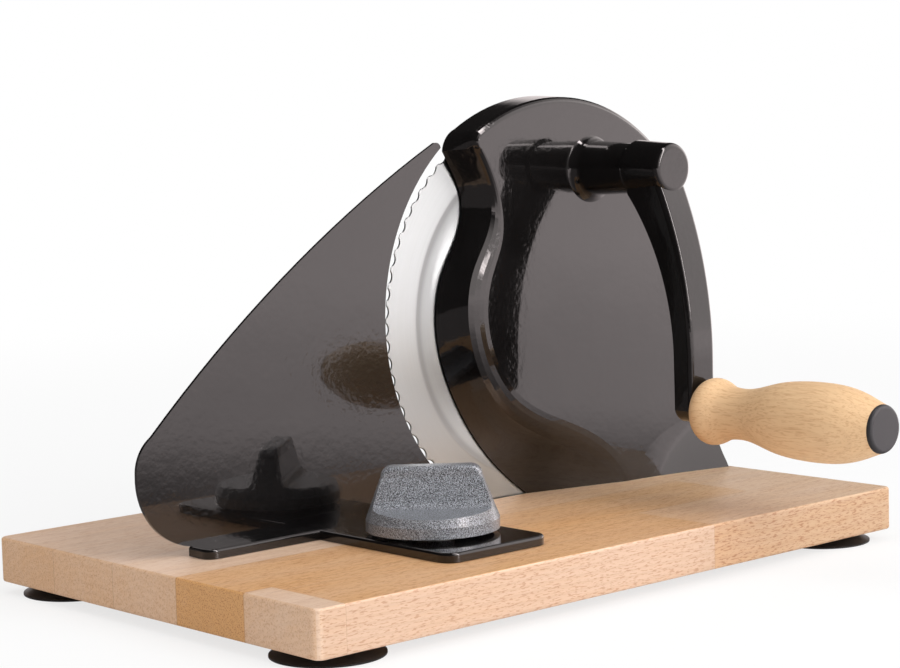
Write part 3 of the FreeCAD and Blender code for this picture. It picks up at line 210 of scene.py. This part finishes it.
class SlicerStage(bpy.types.PropertyGroup):
    """Camera, floor and light."""

    focal: bpy.props.FloatProperty(
        name="Focal length", description="Lens on a sensor of the width below, in millimetres",
        default=91.88, unit="CAMERA", min=1.0)
    sensor: bpy.props.FloatProperty(
        name="Sensor width", description="Width of the camera's sensor, in millimetres",
        default=36.0, unit="CAMERA", min=1.0)
    eye: bpy.props.FloatVectorProperty(
        name="Camera", description="Where the camera stands, from the foot of the board's middle",
        default=(-0.699, -0.771, 0.211),
        subtype="TRANSLATION", unit="LENGTH", size=3)
    heading: bpy.props.FloatProperty(
        name="Heading", description="Turn of the view from +Y towards +X",
        default=math.radians(42.08), subtype="ANGLE")
    tilt: bpy.props.FloatProperty(
        name="Tilt", description="Fall of the view below level", default=math.radians(5.73),
        subtype="ANGLE")
    roll: bpy.props.FloatProperty(
        name="Roll", description="Turn of the picture about the view", default=math.radians(-1.55),
        subtype="ANGLE")
    floor: colour("Floor", "Plain pale floor", (0.92, 0.92, 0.92))
    softbox: strength("Softbox", "Power of the large soft lamp, in watts", 19.5, "POWER")
    surround: strength("Surround", "Strength of the light from all round", 0.80)
    dark: strength("Dark", "Strength of the dark side in the reflections", 0.02)
    card: strength("Card", "Strength of the white card in the reflections", 2.15)
    backdrop: strength("Backdrop", "Strength of the backdrop in the reflections", 0.80)
    strip: strength("Strip", "Strength of the narrow lamp in the reflections", 17.0)
    # Painted shade: the mirrored floor by the board is kept dark
    shaded_near_floor: strength("Near floor", "Mirrored brightness of the floor by the board", 0.25)
    floor_middle: strength("Middle floor", "What the mirrored floor gains further off", 1.60)
    floor_far: strength("Far floor", "What the mirrored floor gains far off", 0.62)


# ------------------------------------------------------------------ shader maths
class Value:
    """A socket that can be used in arithmetic."""

    def __init__(self, finish, socket):
        self.finish = finish
        self.socket = socket

    def _math(self, operation, first, second):
        return self.finish.node("ShaderNodeMath", {"operation": operation}, {0: first, 1: second})

    def __add__(self, other):
        return self._math("ADD", self, other)

    def __sub__(self, other):
        return self._math("SUBTRACT", self, other)

    def __mul__(self, other):
        return self._math("MULTIPLY", self, other)

    def __truediv__(self, other):
        return self._math("DIVIDE", self, other)

    def __radd__(self, other):
        return self._math("ADD", other, self)

    def __rsub__(self, other):
        return self._math("SUBTRACT", other, self)

    def __rmul__(self, other):
        return self._math("MULTIPLY", other, self)

    def __gt__(self, other):
        return self._math("GREATER_THAN", self, other)

    def __lt__(self, other):
        return self._math("LESS_THAN", self, other)


class Finish:
    """A material, or the world, while its nodes are put together."""

    def __init__(self, tree):
        self.tree = tree
        tree.nodes.clear()

    def node(self, kind, settings=None, sockets=None, output=0):
        """Add a node: its settings first, then the values or links of its sockets."""
        made = self.tree.nodes.new(kind)
        for name, value in (settings or {}).items():
            setattr(made, name, value)
        for name, value in (sockets or {}).items():
            if isinstance(value, Value):
                self.tree.links.new(value.socket, made.inputs[name])
            elif isinstance(value, bpy.types.NodeSocket):
                self.tree.links.new(value, made.inputs[name])
            else:
                made.inputs[name].default_value = value
        return Value(self, made.outputs[output]) if made.outputs else None

    def axes(self):
        """Object coordinates as three values, in metres."""
        place = self.node("ShaderNodeTexCoord", output="Object")
        parts = self.node("ShaderNodeSeparateXYZ", sockets={0: place}).socket.node
        return [Value(self, parts.outputs[axis]) for axis in range(3)]

    def vector(self, x, y, z):
        """Three values as one vector."""
        return self.node("ShaderNodeCombineXYZ", sockets={0: x, 1: y, 2: z})

    def grained(self, place, grain, detail=2.0, roughness=0.5):
        """Noise at a place of three values, each scaled by its share of the grain."""
        where = self.vector(*[value * scale for value, scale in zip(place, grain)])
        return self.noise(where, 1.0, detail, roughness)

    def noise(self, where, scale, detail=2.0, roughness=0.5):
        """Smooth noise between 0 and 1."""
        return self.node(
            "ShaderNodeTexNoise", {"noise_dimensions": "3D"},
            {"Vector": where, "Scale": scale, "Detail": detail, "Roughness": roughness})

    def chance(self, first, second):
        """A random number for each pair of whole numbers."""
        where = self.vector(first, second, 0.0)
        return self.node("ShaderNodeTexWhiteNoise", {"noise_dimensions": "2D"}, {"Vector": where})

    def pick(self, index, levels):
        """The level at a whole-number place in a row of levels."""
        fac = (index + 0.5) / float(len(levels))
        ramp = self.node("ShaderNodeValToRGB", sockets={"Fac": fac})
        stops = ramp.socket.node.color_ramp
        stops.interpolation = "CONSTANT"
        stops.elements.remove(stops.elements[1])
        stops.elements[0].color = (levels[0],) * 3 + (1.0,)
        for place, level in enumerate(levels[1:], start=1):
            stops.elements.new(place / len(levels)).color = (level,) * 3 + (1.0,)
        return ramp

    def whole(self, value):
        """The whole number below a value."""
        return self.node("ShaderNodeMath", {"operation": "FLOOR"}, {0: value})

    def distance(self, first, second):
        """Length of a flat vector."""
        square = first * first + second * second
        return self.node("ShaderNodeMath", {"operation": "SQRT"}, {0: square})

    def step(self, value, low, high, start=0.0, end=1.0):
        """A smooth step from start to end as value goes from low to high."""
        return self.node(
            "ShaderNodeMapRange", {"interpolation_type": "SMOOTHSTEP"},
            {"Value": value, "From Min": low, "From Max": high, "To Min": start, "To Max": end})

    def mix(self, amount, first, second, blend_type="MIX"):
        """One colour over another."""
        first = first if isinstance(first, Value) else (*first, 1.0)
        second = second if isinstance(second, Value) else (*second, 1.0)
        return self.node(
            "ShaderNodeMix", {"data_type": "RGBA", "blend_type": blend_type},
            {0: amount, 6: first, 7: second}, output=2)

    def bump(self, height, distance, strength):
        """A surface relief."""
        return self.node(
            "ShaderNodeBump",
            sockets={"Height": height, "Distance": distance, "Strength": strength})

    def rays(self):
        """Whether a ray comes from the camera, and whether it is a mirrored one."""
        path = self.node("ShaderNodeLightPath").socket.node
        return [Value(self, path.outputs[name]) for name in ("Is Camera Ray", "Is Glossy Ray")]

    def tinted(self, even, mirrored, tint):
        """An even light plus a mirrored one that takes a tint."""
        return self.vector(*[even + mirrored * kept for kept in tint])

    def surface(self, **sockets):
        """The Principled shader, with its sockets given by name."""
        names = {name.replace("_", " "): value for name, value in sockets.items()}
        shader = self.node("ShaderNodeBsdfPrincipled", sockets=names)
        self.node("ShaderNodeOutputMaterial", sockets={"Surface": shader})


def new_finish(name):
    """Start a material."""
    material = bpy.data.materials.new(name)
    material.use_nodes = True
    return material, Finish(material.node_tree)


def dress(material, *names):
    """Give CAD nodes a finish."""
    for name in names:
        mesh = NODES[name].data
        mesh.materials.clear()
        mesh.materials.append(material)
        for polygon in mesh.polygons:
            polygon.material_index = 0


# ------------------------------------------------------------------ finishes
def enamel(name, settings, coat_index=1.42):
    """Deep black gloss enamel with orange peel and a few specks under the gloss.

    The coat's index says how strongly it mirrors the room.
    """
    material, make = new_finish(name)
    x, y, z = make.axes()
    where = make.vector(x, y, z)
    wave = make.noise(where, 1.0 / settings.enamel_wave, 1.5, 0.45)
    sag = make.noise(where, ENAMEL_SAG)
    height = wave * 0.85 + sag * 2.2
    cloud = make.noise(where, ENAMEL_CLOUD, 3.0, 0.55)
    tint = make.mix(make.step(cloud, 0.35, 0.7), settings.enamel[:],
                    [channel * 1.5 for channel in settings.enamel])
    speck = make.step(make.noise(where, ENAMEL_SPECK, 2.0, 0.6), 0.72, 0.78)
    rough = settings.enamel_gloss + speck * 0.12 + cloud * 0.03
    make.surface(Base_Color=tint, Roughness=rough, IOR=1.33, Coat_Weight=1.0, Coat_Roughness=0.03,
                 Coat_IOR=coat_index, Normal=make.bump(height, 0.12 * MM, 0.9))
    return material


def growth_rings(make, along, across, up, gap, wander):
    """Growth rings about a pith that runs along the grain, from 0 to 1 over each ring.

    Wander says how far, in metres, they stray from circles. The straying is returned as well.
    """
    drift = make.grained((along, across, up), RING_DRIFT)
    radius = make.distance(across, up) + drift * wander
    turns = radius / gap
    return turns - make.whole(turns), drift


def beech_flecks(make, along, across, up):
    """Short dark rays that lie along the grain."""
    return make.step(make.grained((along, across, up), RAY_FLECK, roughness=0.6), 0.51, 0.64)


def board_beech(settings):
    """Glued beech staves: tone by block with painted shade by the housing, growth rings, ray
    flecks, thin glue lines, and painted shade towards the right.
    """
    material, make = new_finish("oiled_beech_staves")
    x, y, z = make.axes()
    row = (y - BOARD_LOW.y) * (ROW_SQUEEZE / settings.stave) + ROW_MARGIN
    stave = make.whole(row)
    into = row - stave
    run = (x - FRONT_JOINT - stave * JOINT_STEP) / settings.stave_length + COUNTED_LEFT
    block = make.whole(run)
    along = run - block
    front = y < BOARD_LOW.y + FACE_SKIN
    end = (x < BOARD_LOW.x + END_SKIN) + (x > BOARD_HIGH.x - END_SKIN)
    top = z > BOARD_HIGH.z - FACE_SKIN
    levels = [level for tones in STAVE_TONES_AND_SHADE for level in tones]
    place = (stave + 1.0 - front) * float(len(STAVE_TONES_AND_SHADE[0])) + block - FIRST_BLOCK
    # Part of this tone is painted shade and reflection of the housing on the tops
    tone_and_shade = make.pick(place, levels) + end * 0.28
    chance = make.chance(stave * 3.1 + 5.3, block * 1.7 + 2.1)
    second = make.chance(block * 2.3 + 7.7, stave * 1.9 + 0.4)
    pith_across = (y - BOARD_LOW.y - stave * settings.stave + (chance - 0.5) * PITH_SPREAD
                   + PITH_ACROSS)
    pith_up = z + PITH_DOWN + second * PITH_SPREAD
    ring, drift = growth_rings(make, x + chance * 3.0, pith_across, pith_up, settings.ring_gap,
                               BOARD_WANDER)
    late = make.step(ring, 0.35, 0.95) * make.step(ring, 1.0, 0.96)
    fleck = beech_flecks(make, x + second, y, z)
    cloud = make.grained((x, y, z), BOARD_CLOUD, 3.0, 0.55)
    streak = make.grained((x, y, z), BOARD_STREAK, 3.0, 0.6)
    base = make.mix(tone_and_shade + (cloud - 0.5) * 0.5 + (streak - 0.5) * 0.35, settings.beech_pale[:],
                    settings.beech_deep[:])
    base = make.mix(late * (0.10 - end * 0.03), base, settings.late_wood[:], "MULTIPLY")
    flecked = fleck * (0.22 + front * 0.22 + tone_and_shade * 0.40)
    base = make.mix(flecked, base, settings.fleck[:], "MULTIPLY")
    # Painted shade: the board grows darker towards the right, as if less light reached that end
    base = make.mix(make.step(x, PAINTED_SHADE_START, PAINTED_SHADE_END), base, settings.painted_right_shade[:],
                    "MULTIPLY")
    seam = make.step(into, 0.0, GLUE_ACROSS, 1.0, 0.0) + make.step(into, 1.0 - GLUE_ACROSS, 1.0)
    butt = make.step(along, 0.0, GLUE_ALONG, 1.0, 0.0)
    base = make.mix((seam + butt) * 0.25, base, settings.glue[:], "MULTIPLY")
    rough = 0.42 - top * 0.08 + cloud * 0.10 + fleck * 0.08
    height = fleck * -0.5 + late * 0.4 + drift * 0.5
    make.surface(Base_Color=base, Roughness=rough, Normal=make.bump(height, 0.06 * MM, 0.6))
    return material


def grip_beech(settings):
    """Turned beech: growth layers that the turning cuts into long ovals, and fine rays."""
    material, make = new_finish("turned_beech")
    x, y, z = make.axes()
    across = x - GRIP_CENTRE.x + GRIP_PITH[0]
    up = z - GRIP_CENTRE.z + GRIP_PITH[1]
    ring, _ = growth_rings(make, y, across, up, settings.grip_ring, GRIP_WANDER)
    late = make.step(ring, 0.5, 0.95) * make.step(ring, 1.0, 0.96)
    fleck = beech_flecks(make, y * 0.55, x, z)
    cloud = make.grained((x, y, z), GRIP_CLOUD, 3.0)
    streak = make.grained((x, y, z), GRIP_STREAK, 3.0, 0.6)
    base = make.mix(cloud * 0.7 + streak * 0.5 - 0.1, settings.grip_wood[:],
                    settings.grip_pale[:])
    base = make.mix(late * 0.09, base, settings.grip_late[:], "MULTIPLY")
    base = make.mix(fleck * 0.30, base, settings.grip_fleck[:], "MULTIPLY")
    height = fleck * -0.6 + late * 0.4
    make.surface(Base_Color=base, Roughness=0.46 + cloud * 0.1,
                 Normal=make.bump(height, 0.05 * MM, 0.6))
    return material


def blade_steel(settings):
    """Stainless steel ground in circles about the axle."""
    material, make = new_finish("ground_stainless")
    x, y, z = make.axes()
    radius = make.distance(x - BLADE_CENTRE.x, z - BLADE_CENTRE.z)
    around = make.grained((x, y, z), BLADE_DRIFT)
    line = make.noise(make.vector(radius * BLADE_LINES, around * 2.0, 0.0), 1.0, 3.0, 0.7)
    band = make.noise(make.vector(radius * BLADE_BANDS, around * 1.5, 3.0), 1.0)
    base = make.mix(band * 0.4, settings.steel[:], settings.steel_deep[:])
    ground = make.step(radius, *RING_RISE) * make.step(radius, *RING_FALL)
    base = make.mix(ground * 0.55, base, settings.ring_tint[:], "MULTIPLY")
    base = make.mix(make.step(line, 0.50, 0.75) * 0.35, base, settings.line_tint[:], "MULTIPLY")
    rough = 0.26 + line * 0.12 + band * 0.05
    make.surface(Base_Color=base, Metallic=1.0, Roughness=rough,
                 Normal=make.bump(line, 0.01 * MM, 0.5))
    return material


def speckled(settings):
    """Grained black plastic with pale speckles."""
    material, make = new_finish("speckled_black")
    x, y, z = make.axes()
    where = make.vector(x, y, z)
    grain = make.noise(where, 1.0 / settings.speckle, 2.0, 0.75)
    fine = make.noise(where, 2.3 / settings.speckle, 2.0, 0.7)
    pale = make.step(grain * 0.6 + fine * 0.4, 0.45, 0.57)
    base = make.mix(pale, settings.knob_dark[:], settings.knob_light[:])
    make.surface(Base_Color=base, Roughness=0.30 + pale * 0.12, Coat_Weight=0.6,
                 Coat_Roughness=0.22, Normal=make.bump(grain, 0.20 * MM, 0.9))
    return material


def plain(name, tint, roughness, metallic=0.0, grain=0.6 * MM, relief=0.02 * MM, spread=0.15):
    """A plain moulded, cast or machined surface with its fine grain."""
    material, make = new_finish(name)
    x, y, z = make.axes()
    where = make.vector(x, y, z)
    fine = make.noise(where, 1.0 / grain, 3.0, 0.6)
    cloud = make.noise(where, PLAIN_CLOUD, 3.0)
    darker = [channel * (1.0 - spread) for channel in tint]
    base = make.mix(make.step(cloud, 0.3, 0.7), tint, darker)
    make.surface(Base_Color=base, Metallic=metallic, Roughness=roughness + (fine - 0.5) * 0.1,
                 Normal=make.bump(fine, relief, 0.7))
    return material


# ------------------------------------------------------------------ operators
class SLICER_OT_board(bpy.types.Operator):
    """Dress the board and its suction feet"""

    bl_idname = "slicer.board"
    bl_label = "Board and feet"

    def execute(self, context):
        settings = context.scene.slicer_colours
        dress(board_beech(settings), "base_board")
        rubber = plain("black_rubber", settings.rubber[:], 0.38, grain=0.9 * MM, relief=0.03 * MM)
        dress(rubber, *[name for name in NODES if name.startswith("foot_")])
        return {"FINISHED"}


class SLICER_OT_enamel(bpy.types.Operator):
    """Dress the enamelled housing, stop plate and crank arm"""

    bl_idname = "slicer.enamel"
    bl_label = "Enamelled pieces"

    def execute(self, context):
        settings = context.scene.slicer_colours
        dress(enamel("black_enamel", settings), "housing", "stop_plate")
        dress(enamel("black_lacquer", settings, 1.33), "crank_arm")
        return {"FINISHED"}


class SLICER_OT_blade(bpy.types.Operator):
    """Dress the blade"""

    bl_idname = "slicer.blade"
    bl_label = "Blade"

    def execute(self, context):
        dress(blade_steel(context.scene.slicer_colours), "blade")
        return {"FINISHED"}


class SLICER_OT_grip(bpy.types.Operator):
    """Dress the grip and its cap"""

    bl_idname = "slicer.grip"
    bl_label = "Grip and cap"

    def execute(self, context):
        settings = context.scene.slicer_colours
        dress(grip_beech(settings), "grip")
        dress(plain("matte_cap", settings.cap[:], 0.55, grain=0.5 * MM), "grip_cap")
        return {"FINISHED"}


class SLICER_OT_knob(bpy.types.Operator):
    """Dress the clamping knob"""

    bl_idname = "slicer.knob"
    bl_label = "Knob"

    def execute(self, context):
        dress(speckled(context.scene.slicer_colours), "knob")
        return {"FINISHED"}


class SLICER_OT_works(bpy.types.Operator):
    """Dress the gears, bushes, shafts, screws and washers"""

    bl_idname = "slicer.works"
    bl_label = "Gears and hardware"

    def execute(self, context):
        settings = context.scene.slicer_colours
        zinc = plain("zinc_plated_steel", settings.zinc[:], 0.32, metallic=1.0)
        gear = plain("oiled_gear_steel", settings.gear[:], 0.36, metallic=1.0)
        bronze = plain("sintered_bronze", settings.bronze[:], 0.45, metallic=1.0)
        brass = plain("turned_brass", settings.brass[:], 0.30, metallic=1.0)
        nylon = plain("white_nylon", settings.nylon[:], 0.5)
        dress(gear, "drive_gear", "pinion")
        dress(bronze, "axle_bush", "shaft_bush_front", "shaft_bush_rear")
        dress(brass, "threaded_insert")
        dress(nylon, "guide_block")
        slots = {piece["node"]: piece["material_slot"] for piece in frame["record"]["subparts"]}
        for name, slot in slots.items():
            if slot == "zinc_steel":
                dress(zinc, name)
        return {"FINISHED"}


class SLICER_OT_stage(bpy.types.Operator):
    """Set up the floor, the light and the camera"""

    bl_idname = "slicer.stage"
    bl_label = "Stage"

    def execute(self, context):
        settings = context.scene.slicer_stage
        floor(settings)
        surround(context.scene, settings)
        softboxes(settings)
        camera(context.scene, settings)
        context.scene.view_settings.view_transform = "Standard"
        return {"FINISHED"}


# ------------------------------------------------------------------ stage
def towards(east, north, way):
    """How far a flat place or direction reaches along another direction."""
    return east * way[0] + north * way[1]


def floor(settings):
    """A plain pale floor under the feet that keeps the slicer's shadow.

    Far from the slicer it turns into the white backdrop. Mirrored, it is dark near the board,
    which is painted shade around the slicer, and bright to the front right.
    """
    bpy.ops.mesh.primitive_plane_add(size=FLOOR_SIZE, location=(0.0, 0.0, 0.0))
    ground = bpy.context.object
    ground.name = "floor"
    ground.data.transform(Matrix.Translation((0.0, 0.0, -FLOOR_GAP)))
    material, make = new_finish("pale_floor")
    camera_ray, glossy_ray = make.rays()
    x, y, _ = make.axes()
    x, y = x - BOARD_MIDDLE.x, y - BOARD_MIDDLE.y
    far = make.distance(x, y)
    ahead = towards(x, y, MIRRORED_WAY)
    # Painted shade: mirrored, the floor is dark by the board and brightens further off
    mirrored = (settings.shaded_near_floor + make.step(ahead, *FLOOR_MIDDLE) * settings.floor_middle
                + make.step(ahead, *FLOOR_FAR) * settings.floor_far)
    seen = make.tinted(camera_ray, glossy_ray * mirrored, FLOOR_TINT)
    cover = camera_ray * make.step(far, *FLOOR_WHITE) + glossy_ray
    tint = (*settings.floor, 1.0)
    matte = make.node("ShaderNodeBsdfDiffuse", sockets={"Color": tint})
    white = make.node("ShaderNodeEmission", sockets={"Color": seen})
    lit = make.node("ShaderNodeMixShader", sockets={0: cover, 1: matte, 2: white})
    make.node("ShaderNodeOutputMaterial", sockets={"Surface": lit})
    ground.data.materials.append(material)


def surround(scene, settings):
    """Light from all round, a white backdrop, and what the gloss mirrors.

    That is a broad white card to the front right, a narrow bright strip between it and the
    camera, and darkness behind the camera.
    """
    world = bpy.data.worlds.new("studio")
    scene.world = world
    world.use_nodes = True
    make = Finish(world.node_tree)
    way = make.node("ShaderNodeTexCoord", output="Generated")
    parts = make.node("ShaderNodeSeparateXYZ", sockets={0: way}).socket.node
    east, north, up = [Value(make, parts.outputs[axis]) for axis in range(3)]
    card = make.step(towards(east, north, CARD_WAY), *CARD_EDGE)
    backdrop = make.step(towards(east, north, BACKDROP_WAY), *BACKDROP_EDGE)
    backdrop = backdrop * make.step(up, *BACKDROP_TOP)
    across = towards(east, north, STRIP_ACROSS)
    strip = make.step(across, *STRIP_LEFT) * make.step(across, *STRIP_RIGHT)
    strip = strip * make.step(towards(east, north, STRIP_WAY), *STRIP_FRONT)
    strip = strip * make.step(up, *STRIP_FOOT)
    mirrored = (settings.dark + card * settings.card + backdrop * settings.backdrop
                + strip * settings.strip)
    camera_ray, glossy_ray = make.rays()
    plain_ray = 1.0 - camera_ray - glossy_ray
    even = camera_ray + plain_ray * settings.surround * make.step(north, *REAR_TO_FRONT)
    seen = make.tinted(even, glossy_ray * mirrored, ROOM_TINT)
    back = make.node("ShaderNodeBackground", sockets={"Color": seen})
    make.node("ShaderNodeOutputWorld", sockets={"Surface": back})


def lamp(name, place, target, size, power):
    """A square soft lamp that faces a point."""
    data = bpy.data.lights.new(name, "AREA")
    data.shape = "SQUARE"
    data.size = size
    data.energy = power
    made = bpy.data.objects.new(name, data)
    bpy.context.scene.collection.objects.link(made)
    facing = (Vector(target) - Vector(place)).to_track_quat("-Z", "Y")
    ground = Vector((BOARD_MIDDLE.x, BOARD_MIDDLE.y, 0.0))
    made.matrix_world = Matrix.Translation(ground + Vector(place)) @ facing.to_matrix().to_4x4()
    made.visible_glossy = False


def softboxes(settings):
    """One large lamp from the front and a weaker one from above."""
    lamp("softbox", *SOFTBOX, settings.softbox)
    lamp("overhead", *OVERHEAD, settings.softbox * OVERHEAD_SHARE)


def camera(scene, settings):
    """The camera, from its heading, tilt and roll."""
    turn, fall, roll = settings.heading, settings.tilt, settings.roll
    view = Vector((math.sin(turn) * math.cos(fall), math.cos(turn) * math.cos(fall),
                   -math.sin(fall)))
    level_right = Vector((math.cos(turn), -math.sin(turn), 0.0))
    level_up = level_right.cross(view)
    right = level_right * math.cos(roll) + level_up * math.sin(roll)
    up = level_up * math.cos(roll) - level_right * math.sin(roll)
    data = bpy.data.cameras.new("camera")
    data.sensor_fit = "HORIZONTAL"
    data.sensor_width = settings.sensor
    data.lens = settings.focal
    made = bpy.data.objects.new("camera", data)
    scene.collection.objects.link(made)
    made.matrix_world = Matrix((
        (right.x, up.x, -view.x, BOARD_MIDDLE.x + settings.eye[0]),
        (right.y, up.y, -view.y, BOARD_MIDDLE.y + settings.eye[1]),
        (right.z, up.z, -view.z, settings.eye[2]),
        (0.0, 0.0, 0.0, 1.0),
    ))
    scene.camera = made


# ------------------------------------------------------------------ panel and run
PIECES = ("board", "enamel", "blade", "grip", "knob", "works", "stage")


class SLICER_PT_pieces(bpy.types.Panel):
    """Lists the slicer's pieces, colours and stage"""

    bl_idname = "SLICER_PT_pieces"
    bl_label = "Bread slicer"
    bl_space_type = "VIEW_3D"
    bl_region_type = "UI"
    bl_category = "Slicer"

    def draw(self, context):
        for piece in PIECES:
            self.layout.operator(f"slicer.{piece}")
        for group in (context.scene.slicer_colours, context.scene.slicer_stage):
            for name in group.bl_rna.properties.keys():
                if name not in ("rna_type", "name"):
                    self.layout.prop(group, name)


CLASSES = (
    SlicerColours, SlicerStage, SLICER_OT_board, SLICER_OT_enamel, SLICER_OT_blade,
    SLICER_OT_grip, SLICER_OT_knob, SLICER_OT_works, SLICER_OT_stage, SLICER_PT_pieces,
)


def register():
    """Register the classes and hang the settings on the scene."""
    for each in CLASSES:
        bpy.utils.register_class(each)
    bpy.types.Scene.slicer_colours = bpy.props.PointerProperty(type=SlicerColours)
    bpy.types.Scene.slicer_stage = bpy.props.PointerProperty(type=SlicerStage)


def unregister():
    """Undo register."""
    del bpy.types.Scene.slicer_stage
    del bpy.types.Scene.slicer_colours
    for each in reversed(CLASSES):
        bpy.utils.unregister_class(each)


def main():
    """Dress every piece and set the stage."""
    register()
    for piece in PIECES:
        getattr(bpy.ops.slicer, piece)()


if __name__ == "__main__":
    main()
